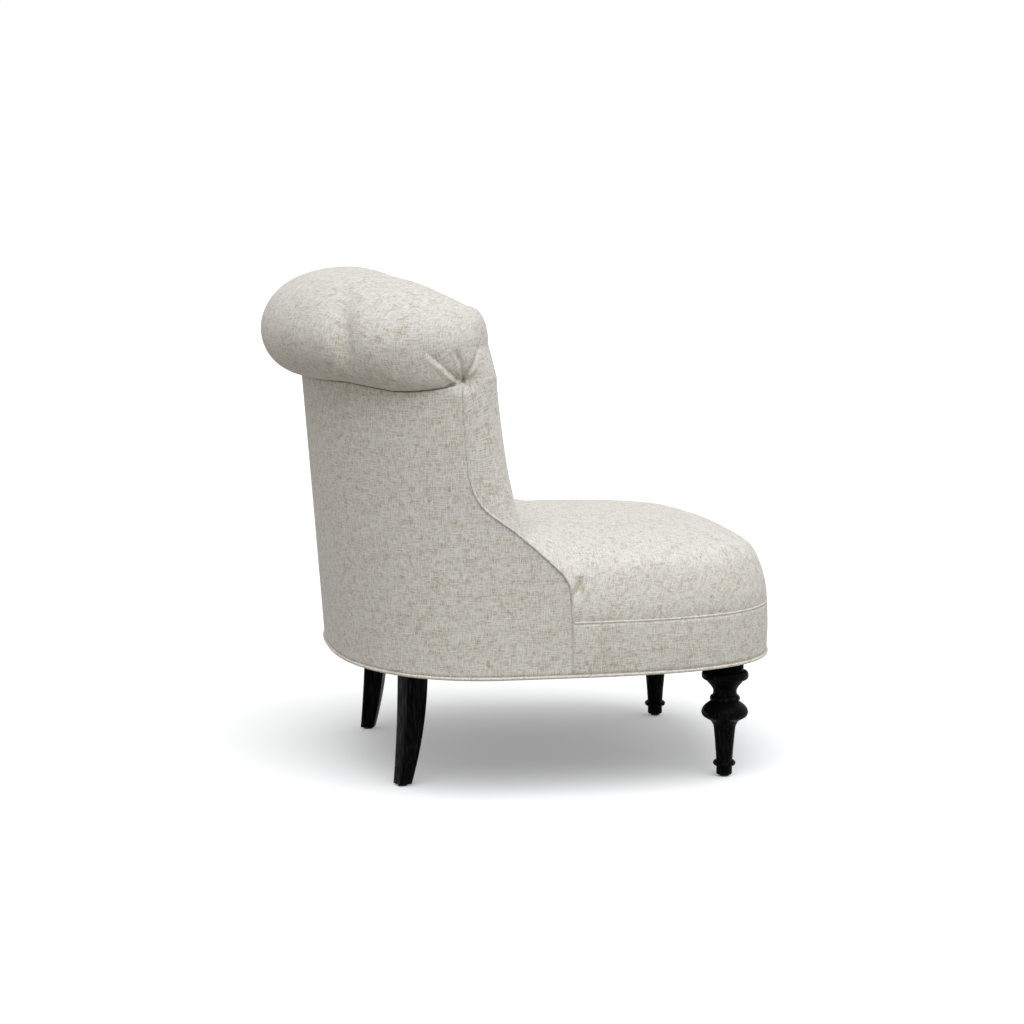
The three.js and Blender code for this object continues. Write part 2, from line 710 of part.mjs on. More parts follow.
function backRing(level, inset, columnStep) {
  const endTurn = endTurnAt(level.z ?? neckLevel);
  const rounding = level.angle > 0 ? Math.cos(level.angle * Math.PI / 180) ** (2 / rollPowerShare) : 1;
  const pinch = level.angle === fineAngles[0] ? creaseDepth : 0;
  const lift = level.angle === undefined ? 0 : 1 + Math.min(0, Math.sin(level.angle * Math.PI / 180));
  const reach = (wingNoseLength - wingNoseSetback * lift - inset) * rounding - pinch;
  const place = (turn, off, section) => {
    const [x, y] = wallPoint(turn, off, section.leanZ);
    return [x, y, section.z];
  };
  const nose = (sign) => {
    const turn = sign > 0 ? endTurn : 1 - endTurn;
    const section = backSection(turn, level, inset);
    const { nx, ny } = outlineAt(turn);
    const half = (section.outer - section.inner) / 2 - pinch / 2;
    const middle = (section.outer + section.inner) / 2;
    return (angle, face) => {
      const [x, y, z] = place(turn, middle + face * half * Math.cos(angle), section);
      const forward = sign * reach * Math.sin(angle);
      return [x + ny * forward, y - nx * forward, z];
    };
  };
  const [leftNose, rightNose] = [nose(1), nose(-1)];
  const columns = [];
  for (let column = -lastColumn; column <= lastColumn; column += columnStep) columns.push(column);
  const chain = (face) => [
    ...noseAngles.map((angle) => leftNose(angle, face)),
    ...columns.map((column) => {
      const turn = turnOfColumn(column, endTurn);
      const section = backSection(turn, level, inset);
      if (face > 0) return place(turn, section.outer, section);
      const pull = tuftAt(turn, section.z) * (level.angle > 0 ? rounding : 1);
      return place(turn, section.inner + pull, section);
    }),
    ...noseAngles.map((angle) => rightNose(angle, face)).reverse(),
  ];
  const [outer, inner] = [chain(1), chain(-1)];
  return [...outer, ...inner.slice(1, -1).reverse()];
}

// The cap of such a ring: quads between its outer and inner side, and a triangle at each tip.
function bandCap(size) {
  const half = size / 2;
  const partner = (k) => (size - k) % size;
  const triangles = [];
  for (let k = 0; k < half; k += 1) {
    if (k > 0) triangles.push([k, k + 1, partner(k)]);
    if (k < half - 1) triangles.push([k + 1, partner(k + 1), partner(k)]);
  }
  return triangles;
}

function paddedBack(inset, bottom, heights, angles, columnStep) {
  const levels = [bottom, ...heights].map((z) => ({ z })).concat(angles.map((angle) => ({ angle })));
  const rings = levels.map((level) => backRing(level, inset, columnStep));
  const cap = bandCap(rings[0].length);
  return loft(rings, cap, cap);
}

const fineHeights = [crownLevel, mix(crownLevel, tuftLevel, 0.5), tuftLevel, mix(tuftLevel, neckLevel, 0.5)];
const coarseHeights = [crownLevel, tuftLevel, neckLevel];
const backBottom = railTop + weltRadius;
const coarseStep = 2;
const backSkin = (inset) => paddedBack(inset, backBottom, fineHeights, fineAngles, 1);
const backCore = (inset) => paddedBack(inset, backBottom - overrun, coarseHeights, coarseAngles, coarseStep);

// Covered buttons, seated at the bottom of the tufts.
const buttonProfile = buttonShares.map(([across, out]) => [across * buttonRadius, out * buttonThickness]);
const pocketProfile = rod(buttonRadius + clearance, -clearance, 2 * buttonThickness);

function inTuft(profile, [along, z]) {
  const turn = 0.5 + along / girth;
  const section = backSection(turn, { z }, 0);
  const [x, y] = wallPoint(turn, section.inner + tuftDepth + buttonSink, z);
  const { nx, ny } = outlineAt(turn);
  const points = profile.map(([radius, out]) => new THREE.Vector2(radius, out));
  const facing = new THREE.Quaternion().setFromUnitVectors(
    new THREE.Vector3(0, 1, 0), new THREE.Vector3(-nx, -ny, 0).normalize());
  return new THREE.LatheGeometry(points, buttonSideCount).applyQuaternion(facing).translate(x, y, z);
}

tufts.forEach((tuft, k) => addPiece(`tuft_button_${k + 1}`, inTuft(buttonProfile, tuft), linen));

// The inside back cover with its sewn filling: inner face, wings and roll in one.
const frameSpace = spaceBehindSeam(frameSpaceInner, topRailTop + clearance, -clearance);
addPiece('inside_back_cover', cut(backSkin(0), backCore(coverPadding), frameSpace, underPadding,
  ...tufts.map((tuft) => inTuft(pocketProfile, tuft))), linen);

// Foam inside it: a slab for the back and a shaped core for the roll.
const foamBody = cut(backCore(coverPadding + clearance), spaceBehindSeam(frameSpaceInner - clearance,
  topRailTop + 2 * clearance, -2 * clearance), underPadding);
const foamSplit = topRailTop + 2 * clearance;
const levelSpace = (low, high) => crossPrism([
  [frontFar, low], [rearFar, low], [rearFar, high], [frontFar, high],
]);
const aboveNeck = levelSpace(foamSplit, topFar);
const belowNeck = levelSpace(0, foamSplit - clearance);
addPiece('back_foam', common(foamBody, belowNeck), foam);
addPiece('roll_foam', common(foamBody, aboveNeck), foam);

// The outside cover: one panel round the sides and rear, from seam to seam.
const coverBottom = baseLevel + 2 * weltRadius + clearance;
const coverBlank = wallStrip(boardFrontTurn - overrun / girth, 1 - boardFrontTurn + overrun / girth,
  0, -coverThickness, coverBottom, topRailTop);
addPiece('outside_cover', cut(coverBlank, seamPrism(frontFar, clearance)), linen);

// The seat pad: a drawn-in side, a rounded shoulder and a crown that is fullest in the middle.
// Behind the seam's front end its shoulder climbs with the seam.
function padHeightAt(turn, share) {
  const { y } = outlineAt(turn);
  const shoulder = Math.min(crownLevel - clearance, Math.max(shoulderLevel, seamHeight(y)));
  if (share <= padShoulderShare) return mix(bandLevel, shoulder, share / padShoulderShare);
  return mix(shoulder, crownLevel, (share - padShoulderShare) / (1 - padShoulderShare));
}

const padBottom = bandLevel + weltRadius + clearance;
function seatPad(inset, bottom) {
  const turns = stations.map((_, k) => k / stationCount).filter((_, k) => k % 2 === 0);
  const middle = [0, -padMiddleReach];
  const ringAt = ([inShare, upShare], scale) => turns.map((turn) => {
    const [x, y] = wallPoint(turn, -inShare * padRimWidth - inset, baseLevel);
    const z = padHeightAt(turn, upShare);
    return [mix(middle[0], x, scale), mix(middle[1], y, scale), z - inset * upShare];
  });
  const rim = padRimShares.map((shares) => ringAt(shares, 1));
  const dome = padCrownShares.map(([scale, up]) => ringAt([1, up], scale));
  const edge = rim[0].map(([x, y]) => [x, y, padBottom]);
  const rings = [edge, ...rim.slice(1), ...dome];
  if (bottom < padBottom) rings.unshift(edge.map(([x, y]) => [x, y, bottom]));
  return loft(rings, fanCap(turns.length), fanCap(turns.length));
}

const padSideSpace = spaceBehindSeam(boardInner - clearance, crownLevel + overrun, -clearance);
const backEnvelope = backSkin(-clearance);
addPiece('seat_cover', cut(seatPad(0, padBottom), seatPad(seatCoverThickness, padBottom - overrun),
  padSideSpace, backEnvelope), linen);
addPiece('seat_foam', cut(seatPad(seatCoverThickness + clearance, railTop),
  padSideSpace, backEnvelope, underPadding), foam);

// The front band between the welts, from side seam to side seam.
addPiece('front_band', wallStrip(-boardFrontTurn + gapTurn, boardFrontTurn - gapTurn,
  0, -coverThickness, coverBottom, bandLevel - weltRadius - clearance), linen);

// Welts: piping round the base, along the seat's edge and up the side seams.
function welt(points, radius) {
  const curve = new THREE.CatmullRomCurve3(points.map((point) => new THREE.Vector3(...point)));
  return tube(curve, radius, weltSideCount, points.length);
}

function weltAlong(from, to, z) {
  const count = Math.ceil((to - from) * stationCount);
  const turns = Array.from({ length: count + 1 }, (_, k) => mix(from, to, k / count));
  return welt(turns.map((turn) => wallPoint(turn, weltStandOut, z)), weltRadius);
}

const seatWeltEnd = boardFrontTurn - (2 * weltRadius) / girth;
addPiece('base_welt', weltAlong(-0.5 + gapTurn, 0.5 - gapTurn, baseLevel + weltRadius), linen);
addPiece('seat_welt', weltAlong(-seatWeltEnd, seatWeltEnd, bandLevel), linen);
const seamLine = [new THREE.Vector2(-seamFrontReach, coverBottom), ...seamPoints];
const sideWelt = welt(seamLine.map(({ x: y, y: z }) => (
  wallPoint(turnAtY(y), sideWeltRadius + 2 * clearance, Math.min(z, topRailTop)))), sideWeltRadius);
addPiece('side_welt_left', sideWelt, linen);
addPiece('side_welt_right', mirrored(sideWelt), linen);

// Front legs, turned and bored from above for their bolts.
const glideTop = glideHeight + clearance;
const holeRadius = boltRadius + clearance;
const holeBottom = legTop - boltInLeg - clearance;
const boltPocket = [[holeRadius, legTop], [holeRadius, holeBottom], [0, holeBottom]];
const frontLegProfile = frontLegShares.map(([across, up]) => (
  [across * frontLegRadius, mix(glideTop, legTop, up)]));
for (const [side, sign] of sides) {
  addPiece(`front_leg_${side}`, turned([[0, glideTop], ...frontLegProfile, ...boltPocket],
    legSideCount, sign * frontLegX, frontLegY), lacquer);
}

// Rear legs, square: each tapers and sweeps back towards its foot, and is set askew.
function rearLegSquare(sign, width, y, z) {
  const firstCorner = Math.PI * (0.25 - 2 * sign * rearLegTurnShare);
  const reach = width * Math.SQRT1_2;
  return Array.from({ length: 4 }, (_, k) => {
    const angle = firstCorner + Math.PI / 2 * k;
    return [sign * rearLegX + reach * Math.cos(angle), y + reach * Math.sin(angle), z];
  });
}

function rearLeg(sign) {
  const rings = Array.from({ length: rearLegStepCount + 1 }, (_, k) => {
    const fall = k / rearLegStepCount;
    const [width, y] = [mix(rearLegTop, rearLegFoot, fall ** 2), rearLegTopY + rearLegSweep * fall ** 2];
    return rearLegSquare(sign, width, y, mix(legTop, glideTop, fall));
  });
  const drill = boltHole(sign * rearLegX, rearLegTopY, holeBottom, legTop + overrun);
  return cut(loft(rings, fanCap(rings[0].length), fanCap(rings[0].length)), drill);
}

for (const [side, sign] of sides) {
  addPiece(`rear_leg_${side}`, rearLeg(sign), lacquer);
}

// A bolt between each leg and its block, and a glide under each foot.
const feet = [
  ['front', frontLegX, frontLegY, frontLegY],
  ['rear', rearLegX, rearLegTopY, rearLegTopY + rearLegSweep],
];
for (const [end, legX, topY, footY] of feet) {
  for (const [side, sign] of sides) {
    const [bolt, glide] = [rod(boltRadius, legTop - boltInLeg, boltTop), rod(glideRadius, 0, glideHeight)];
    addPiece(`leg_bolt_${end}_${side}`, turned(bolt, roundSideCount, sign * legX, topY), steel);
    addPiece(`glide_${end}_${side}`, turned(glide, roundSideCount, sign * legX, footY), nylon);
  }
}

// Dust cover: thin cloth under the rails, cut out round the legs.
const legOpenings = sides.flatMap(([, sign]) => {
  const [low, high] = [legTop - overrun, legTop + overrun];
  const radius = frontLegProfile[frontLegProfile.length - 1][0] + clearance;
  const square = [low, high].map((z) => rearLegSquare(sign, rearLegTop + 2 * clearance, rearLegTopY, z));
  return [
    turned(rod(radius, low, high), legSideCount, sign * frontLegX, frontLegY),
    loft(square, fanCap(square[0].length), fanCap(square[0].length)),
  ];
});
const dustSheet = planPlate(dustCoverInset, legTop - dustCoverThickness, legTop);
addPiece('dust_cover', cut(dustSheet, ...legOpenings), blackCloth);

// The origin lies on the floor under the middle of the chair's box.
const box = new THREE.Box3().setFromObject(group);
group.position.y = -(box.min.y + box.max.y) / 2;

export default group;
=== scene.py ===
import math

import bpy
import numpy as np
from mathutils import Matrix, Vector


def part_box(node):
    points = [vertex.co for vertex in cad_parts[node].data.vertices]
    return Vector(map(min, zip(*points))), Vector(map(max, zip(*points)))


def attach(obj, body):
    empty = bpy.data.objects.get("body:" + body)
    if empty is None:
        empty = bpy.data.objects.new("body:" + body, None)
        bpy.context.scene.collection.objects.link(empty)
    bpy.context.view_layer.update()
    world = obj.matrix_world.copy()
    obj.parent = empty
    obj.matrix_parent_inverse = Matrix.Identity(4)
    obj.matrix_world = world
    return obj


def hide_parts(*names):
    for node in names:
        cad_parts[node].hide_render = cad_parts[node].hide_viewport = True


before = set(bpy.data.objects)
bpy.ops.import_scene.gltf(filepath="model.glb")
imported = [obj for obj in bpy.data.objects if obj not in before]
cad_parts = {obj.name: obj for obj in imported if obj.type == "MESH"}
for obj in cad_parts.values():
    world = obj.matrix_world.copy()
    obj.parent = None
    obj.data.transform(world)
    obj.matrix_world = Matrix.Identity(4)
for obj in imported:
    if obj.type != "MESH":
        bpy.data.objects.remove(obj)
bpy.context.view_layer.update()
scene = bpy.context.scene

# The view. The chair is seen from behind its right-hand side, from just above the height of
# its roll, by a long lens. The base's widest line is the place that the eye is measured from.
widest_y = 0.0604
eye = Vector((-4.3954, widest_y + 0.7255, 0.9891))
swing, tilt = math.radians(10.156), math.radians(7.403)
look = Vector((math.cos(swing) * math.cos(tilt), -math.sin(swing) * math.cos(tilt), -math.sin(tilt)))
camera_data = bpy.data.cameras.new("view")
camera_data.sensor_width = 36
camera_data.lens = 94.13
camera_data.clip_end = 60
camera = bpy.data.objects.new("view", camera_data)
camera.location = eye
camera.rotation_euler = look.to_track_quat("-Z", "Y").to_euler()
scene.collection.objects.link(camera)
scene.camera = camera

# Timber frame: rails, posts, stiles, boards and blocks of sawn beech, butted and glued. All of
# it is covered, so the grain is plain: it runs along each piece, with saw marks across it.
pale_beech = (0.52, 0.36, 0.2, 1)
brown_beech = (0.34, 0.2, 0.1, 1)


def new_material(name, roughness, metal=0.0):
    material = bpy.data.materials.new(name)
    material.use_nodes = True
    shader = material.node_tree.nodes["Principled BSDF"]
    shader.inputs["Roughness"].default_value = roughness
    shader.inputs["Metallic"].default_value = metal
    return material, material.node_tree, shader


def add_node(tree, kind, **settings):
    node = tree.nodes.new(kind)
    for name, value in settings.items():
        setattr(node, name, value)
    return node


def noise(tree, vector, scale, detail=3.0, roughness=0.55):
    node = add_node(tree, "ShaderNodeTexNoise")
    node.inputs["Scale"].default_value = scale
    node.inputs["Detail"].default_value = detail
    node.inputs["Roughness"].default_value = roughness
    tree.links.new(vector, node.inputs["Vector"])
    return node.outputs["Fac"]


def stretched(tree, vector, scale, turn=0.0):
    node = add_node(tree, "ShaderNodeMapping")
    node.inputs["Scale"].default_value = scale
    node.inputs["Rotation"].default_value = (0, 0, turn)
    tree.links.new(vector, node.inputs["Vector"])
    return node.outputs["Vector"]


def ramp(tree, value, stops):
    node = add_node(tree, "ShaderNodeValToRGB")
    points = node.color_ramp.elements
    while len(points) < len(stops):
        points.new(0.5)
    for point, (place, colour) in zip(points, stops):
        point.position = place
        point.color = colour
    tree.links.new(value, node.inputs["Fac"])
    return node.outputs["Color"]


def bump(tree, shader, height, distance, strength):
    node = add_node(tree, "ShaderNodeBump")
    node.inputs["Distance"].default_value = distance
    node.inputs["Strength"].default_value = strength
    tree.links.new(height, node.inputs["Height"])
    tree.links.new(node.outputs["Normal"], shader.inputs["Normal"])


def object_place(tree):
    return add_node(tree, "ShaderNodeTexCoord").outputs["Object"]


def grained(name, roughness, grid, detail, tones, relief, metal=0.0):
    material, tree, shader = new_material(name, roughness, metal)
    marks = noise(tree, stretched(tree, object_place(tree), grid), 1.0, detail)
    tree.links.new(ramp(tree, marks, tones), shader.inputs["Base Color"])
    bump(tree, shader, marks, *relief)
    return material


def sawn_beech(name, grid):
    return grained(name, 0.8, grid, 4.0, [(0.35, brown_beech), (0.62, pale_beech)], (0.0004, 0.5))


def dress(material, *nodes):
    for node in nodes:
        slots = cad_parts[node].data.materials
        slots.clear()
        slots.append(material)


cross, along = 160, 14
beech_across = sawn_beech("beech_along_x", (along, cross, cross))
beech_deep = sawn_beech("beech_along_y", (cross, along, cross))
beech_upright = sawn_beech("beech_along_z", (cross, cross, along))
dress(beech_across, "front_rail", "back_rail", "top_rail",
      "waist_rail_rear", "waist_rail_left", "waist_rail_right")
dress(beech_deep, "side_rail_left", "side_rail_right", "corner_block_front_left",
      "corner_block_front_right", "corner_block_rear_left", "corner_block_rear_right")
dress(beech_upright, "wing_post_left", "wing_post_right", "back_stile_left", "back_stile_right",
      "side_board_left", "side_board_right")

# Springs, webbing, burlap and foam: steel wire and woven jute under layers of cut foam. They
# are tacked to the frame before the covers go on, and only the open chair shows them.
jute_light = (0.42, 0.29, 0.14, 1)
jute_dark = (0.2, 0.12, 0.05, 1)
foam_light = (0.78, 0.72, 0.52, 1)
foam_dark = (0.62, 0.54, 0.33, 1)
steel_light = (0.52, 0.53, 0.55, 1)
steel_dark = (0.36, 0.37, 0.38, 1)
fibre, strand = 900, 60


def feed(tree, sockets, values):
    for socket, value in zip(sockets, values):
        if isinstance(value, (int, float, tuple)):
            socket.default_value = value
        else:
            tree.links.new(value, socket)


def reckoned(tree, operation, a, b):
    node = add_node(tree, "ShaderNodeMath", operation=operation)
    feed(tree, node.inputs, (a, b))
    return node.outputs[0]


def jute_weave():
    material, tree, shader = new_material("jute_weave", 1.0)
    place = object_place(tree)
    across = noise(tree, stretched(tree, place, (strand, fibre, fibre)), 1.0)
    along = noise(tree, stretched(tree, place, (fibre, strand, strand)), 1.0)
    weave = reckoned(tree, "MULTIPLY", reckoned(tree, "ADD", across, along), 0.5)
    colour = ramp(tree, weave, [(0.35, jute_dark), (0.65, jute_light)])
    tree.links.new(colour, shader.inputs["Base Color"])
    bump(tree, shader, weave, 0.0006, 0.8)
    return material


jute = jute_weave()
foam_tones = [(0.3, foam_dark), (0.7, foam_light)]
foam = grained("cut_foam", 1.0, (500, 500, 500), 2.0, foam_tones, (0.0005, 0.7))
steel_tones = [(0.3, steel_dark), (0.7, steel_light)]
steel = grained("drawn_steel", 0.35, (fibre, strand, fibre), 3.0, steel_tones, (0.0001, 0.4), metal=1.0)
dress(jute, "back_webbing_1", "back_webbing_2", "back_webbing_3", "seat_burlap")
dress(foam, "back_foam", "roll_foam", "seat_foam")
dress(steel, "seat_spring_1", "seat_spring_2", "seat_spring_3", "seat_spring_4", "seat_spring_5",
      "leg_bolt_front_left", "leg_bolt_front_right", "leg_bolt_rear_left", "leg_bolt_rear_right")

# Seat: a tight, domed pad of foam and fibre under one piece of heathered linen. The cloth is
# pulled down to the seat's welt all round and tucked in under the wings and the back.
half_width, front_reach, rear_reach = 0.3593, 0.469, 0.25
front_power, rear_power = 3.455, 2.365
base_level, band_level, crown_level = 0.1915, 0.279, 0.41
shoulder_level = 0.335
neck_level = 0.648
rear_rake = 0.0375
seam_front_y, seam_rear_y = -0.0945, 0.0775
seam_line = [(0, 0), (0.008, 0.1), (0.05, 0.18), (0.17, 0.245), (0.5, 0.382), (0.8, 0.49), (0.92, 0.59),
             (0.965, 0.72), (1, 1)]
wing_end_y, wing_sweep = 0.084, 0.053
wing_thickness, rear_thickness_low = 0.108, 0.16
light_yarn = (0.9, 0.88, 0.828, 1)
dark_yarn = (0.52, 0.495, 0.44, 1)
brown_fleck = (0.42, 0.32, 0.19, 1)
pale_slub = (0.92, 0.9, 0.84, 1)
yarn_pitch = 0.0013
yarn_grid, slub_grid, streak_grid = (620, 105), (600, 52), (760, 62)
patch_grid, cloud_grid, speck_scale = (62, 88, 1), (15, 20, 1), 640.0
slub_band, streak_band, patch_band = (0.54, 0.63), (0.54, 0.64), (0.58, 0.86)
shade_band, dark_band = (0.32, 0.62), (0.56, 0.42)
fleck_share, slub_share, yarn_share, speck_share = 0.76, 0.72, 0.42, 0.16
dark_range, dark_least, cloud_share, streak_range, streak_least = 0.75, 0.25, 0.3, 0.6, 0.42
slub_lift, thread_lift, yarn_lift = 0.6, 2.5, 0.6
yarn_height, yarn_relief = 0.00016, 0.5


def plan_table():
    angle = np.linspace(-math.pi / 2, 1.5 * math.pi, 24001)
    c, s = np.abs(np.cos(angle)), np.abs(np.sin(angle))
    rear = np.sin(angle) > 0
    power = np.where(rear, rear_power, front_power)
    reach = np.where(rear, rear_reach, front_reach)
    radius = ((c / half_width) ** power + (s / reach) ** power) ** (-1 / power)
    x, y = radius * np.cos(angle), radius * np.sin(angle)
    nx = np.sign(x) * (np.abs(x) / half_width) ** (power - 1) / half_width
    ny = np.sign(y) * (np.abs(y) / reach) ** (power - 1) / reach
    length = np.hypot(nx, ny)
    run = np.concatenate([[0], np.cumsum(np.hypot(np.diff(x), np.diff(y)))])
    return run[-1], run / run[-1], x, y, nx / length, ny / length


girth, plan_turn, plan_x, plan_y, plan_nx, plan_ny = plan_table()
half_turn = len(plan_turn) // 2 + 1


def plan_edge(turn):
    place = np.mod(turn, 1.0)
    return [np.interp(place, plan_turn, table) for table in (plan_x, plan_y, plan_nx, plan_ny)]


def turn_at_y(y):
    return np.interp(y, plan_y[:half_turn], plan_turn[:half_turn])


def soft_step(share):
    share = np.clip(share, 0, 1)
    return share * share * (3 - 2 * share)


wing_turn = float(turn_at_y(wing_end_y))


def fold(turn):
    return np.minimum(turn, 1 - turn)


def rearness(turn):
    return np.clip((fold(turn) - wing_turn) / (0.5 - wing_turn), 0, 1)


def rear_share(turn):
    return np.sin(math.pi / 2 * rearness(turn)) ** 2


def wall(turn, out, z):
    turn, out, z = np.broadcast_arrays(turn, out, z)
    x, y, nx, ny = plan_edge(turn)
    lean = rear_rake * rear_share(turn) * np.maximum(0, z - base_level)
    out = out + lean / (neck_level - base_level)
    return np.stack([x + nx * out, y + ny * out + widest_y, z], -1)


def smooth_line(points, steps):
    points = np.asarray(points, float)
    padded = np.concatenate([2 * points[:1] - points[1:2], points, 2 * points[-1:] - points[-2:-1]])
    made = []
    for k in range(1, len(padded) - 2):
        a, b, c, d = padded[k - 1:k + 3]
        for t in np.arange(steps) / steps:
            made.append(0.5 * (2 * b + (c - a) * t + (2 * a - 5 * b + 4 * c - d) * t * t
                               + (3 * b - a - 3 * c + d) * t ** 3))
    made.append(points[-1])
    return np.array(made)


seam_points = smooth_line(seam_line, 12)
seam_y = seam_front_y + seam_points[:, 0] * (seam_rear_y - seam_front_y)
seam_z = band_level + seam_points[:, 1] * (neck_level - band_level)


def seam_height(y):
    return np.interp(y, np.maximum.accumulate(seam_y), seam_z)


def seam_place(z):
    return np.interp(z, seam_z, seam_y)


def skin(name, points, faces, weave=None):
    mesh = bpy.data.meshes.new(name)
    corners = [tuple(p) for p in np.asarray(points, float)]
    mesh.from_pydata(corners, [], [tuple(int(i) for i in face) for face in faces])
    mesh.validate()
    mesh.shade_smooth()
    piece = bpy.data.objects.new(name, mesh)
    scene.collection.objects.link(piece)
    if weave is not None:
        lay_weave(piece, weave)
    return piece


def lay_weave(piece, weave):
    layer = piece.data.attributes.new("weave", "FLOAT_VECTOR", "POINT")
    flat = np.zeros((len(weave), 3), np.float32)
    flat[:, :2] = weave
    layer.data.foreach_set("vector", flat.ravel())


def strips(rows, columns, closed):
    faces = []
    for r in range(rows - 1):
        for c in range(columns if closed else columns - 1):
            d = (c + 1) % columns
            faces.append((r * columns + c, r * columns + d, (r + 1) * columns + d, (r + 1) * columns + c))
    return faces


def closed_tube(rows, columns):
    last = (rows - 1) * columns
    ends = [tuple(range(columns))[::-1], tuple(last + k for k in range(columns))]
    return strips(rows, columns, True) + ends


def triples(rows, field):
    flat = np.zeros(len(rows) * 3, np.float32)
    rows.foreach_get(field, flat)
    return flat.reshape(-1, 3).astype(float)


def places(piece):
    return triples(piece.data.vertices, "co")


def directions(piece):
    return triples(piece.data.vertex_normals, "vector")


def move_points(piece, points):
    piece.data.vertices.foreach_set("co", np.asarray(points, np.float32).ravel())
    piece.data.update()


def ranged(tree, value, before, after, easing="LINEAR"):
    node = add_node(tree, "ShaderNodeMapRange", interpolation_type=easing)
    names = ("Value", "From Min", "From Max", "To Min", "To Max")
    feed(tree, [node.inputs[name] for name in names], (value, *before, *after))
    return node.outputs["Result"]


def mixed(tree, factor, under, over):
    node = add_node(tree, "ShaderNodeMix", data_type="RGBA")
    feed(tree, (node.inputs["Factor"], node.inputs[6], node.inputs[7]), (factor, under, over))
    return node.outputs[2]


def linen(name, bias=0.0):
    material, tree, shader = new_material(name, 0.92)
    shader.inputs["Sheen Weight"].default_value = 0.2
    shader.inputs["Sheen Roughness"].default_value = 0.6
    shader.inputs["Specular IOR Level"].default_value = 0.2
    layer = add_node(tree, "ShaderNodeAttribute", attribute_name="weave").outputs["Vector"]
    laid = stretched(tree, layer, (1, 1, 1), bias)

    def threads(across, along, detail):
        upright = noise(tree, stretched(tree, laid, (across, along, 1)), 1.0, detail, 0.6)
        level = noise(tree, stretched(tree, laid, (along * 0.93, across * 1.05, 1)), 1.0, detail, 0.6)
        return upright, level

    def joined(operation, a, b):
        return reckoned(tree, operation, a, b)

    def scaled(value, share):
        return joined("MULTIPLY", value, share)

    def rise(value, band):
        return ranged(tree, value, band, (0, 1), "SMOOTHSTEP")

    upright, level = threads(*yarn_grid, 2.0)
    long_upright, long_level = threads(*slub_grid, 1.0)
    brown_upright, brown_level = threads(*streak_grid, 1.0)
    patches = noise(tree, stretched(tree, laid, patch_grid), 1.0, 3.0, 0.65)
    clouds = noise(tree, stretched(tree, laid, cloud_grid), 1.0, 2.0, 0.5)
    specks = noise(tree, laid, speck_scale, 1.0)
    weave = joined("ADD", scaled(upright, yarn_share), scaled(level, yarn_share))
    weave = joined("ADD", weave, scaled(specks, speck_share))
    slubs = joined("MAXIMUM", rise(long_upright, slub_band), rise(long_level, slub_band))
    dark_threads = joined("ADD", scaled(rise(weave, dark_band), dark_range), dark_least)
    brown_threads = joined("MAXIMUM", rise(brown_upright, streak_band), rise(brown_level, streak_band))
    patched = rise(joined("ADD", patches, scaled(clouds, cloud_share)), patch_band)
    streak_share = joined("ADD", scaled(patched, streak_range), streak_least)
    streaks = joined("MULTIPLY", brown_threads, streak_share)
    fleck = joined("MAXIMUM", joined("MULTIPLY", dark_threads, patched), streaks)
    ground = mixed(tree, rise(weave, shade_band), dark_yarn, light_yarn)
    ground = mixed(tree, scaled(fleck, fleck_share), ground, brown_fleck)
    ground = mixed(tree, scaled(slubs, slub_share), ground, pale_slub)
    tree.links.new(ground, shader.inputs["Base Color"])
    split = add_node(tree, "ShaderNodeSeparateXYZ")
    tree.links.new(laid, split.inputs[0])
    across = joined("SINE", scaled(split.outputs[0], math.pi / yarn_pitch), 0)
    along = joined("SINE", scaled(split.outputs[1], math.pi / yarn_pitch), 0)
    over = joined("GREATER_THAN", joined("MULTIPLY", across, along), 0)
    warp_height = joined("MULTIPLY", joined("ABSOLUTE", across, 0), over)
    weft_height = joined("MULTIPLY", joined("ABSOLUTE", along, 0), joined("SUBTRACT", 1, over))
    yarns = joined("ADD", warp_height, weft_height)
    lumps = joined("ADD", scaled(slubs, slub_lift), scaled(weave, thread_lift))
    lumps = joined("ADD", lumps, scaled(yarns, yarn_lift))
    bump(tree, shader, lumps, yarn_height, yarn_relief)
    return material


cover_linen = linen("heathered_linen")


def wrapped_weave(points, shoulder):
    y = points[:, 1] - widest_y
    angle = np.arctan2(y / np.where(y > 0, rear_reach, front_reach), points[:, 0] / half_width)
    drop = np.maximum(0, shoulder - points[:, 2])
    return np.stack([points[:, 0] + np.cos(angle) * drop, points[:, 1] + np.sin(angle) * drop], -1)


def swell(piece, cap, sink, pressure, pins):
    still = places(piece)
    facing = directions(piece)
    group = piece.vertex_groups.new(name="sewn_down")
    for index, weight in enumerate(pins):
        if weight > 0:
            group.add([index], float(weight), "REPLACE")
    cloth = piece.modifiers.new("stuffing", "CLOTH")
    cloth.settings.quality = 6
    cloth.settings.mass = 0.4
    cloth.settings.tension_stiffness = 25
    cloth.settings.compression_stiffness = 25
    cloth.settings.shear_stiffness = 12
    cloth.settings.bending_stiffness = 1.2
    cloth.settings.use_pressure = True
    cloth.settings.uniform_pressure_force = pressure
    cloth.settings.effector_weights.gravity = 0
    cloth.settings.vertex_group_mass = "sewn_down"
    last_frame = 20
    cloth.point_cache.frame_start, cloth.point_cache.frame_end = 1, last_frame
    for number in range(1, last_frame + 1):
        scene.frame_set(number)
    view = bpy.context.evaluated_depsgraph_get()
    blown = piece.evaluated_get(view).to_mesh()
    moved = triples(blown.vertices, "co")
    piece.evaluated_get(view).to_mesh_clear()
    piece.modifiers.remove(cloth)
    scene.frame_set(1)
    step = moved - still
    outward = (step * facing).sum(1)
    step += facing * np.maximum(0, -sink - outward)[:, None]
    size = np.linalg.norm(step, axis=1, keepdims=True)
    step *= np.minimum(1, cap / np.maximum(size, 1e-9))
    move_points(piece, still + step)


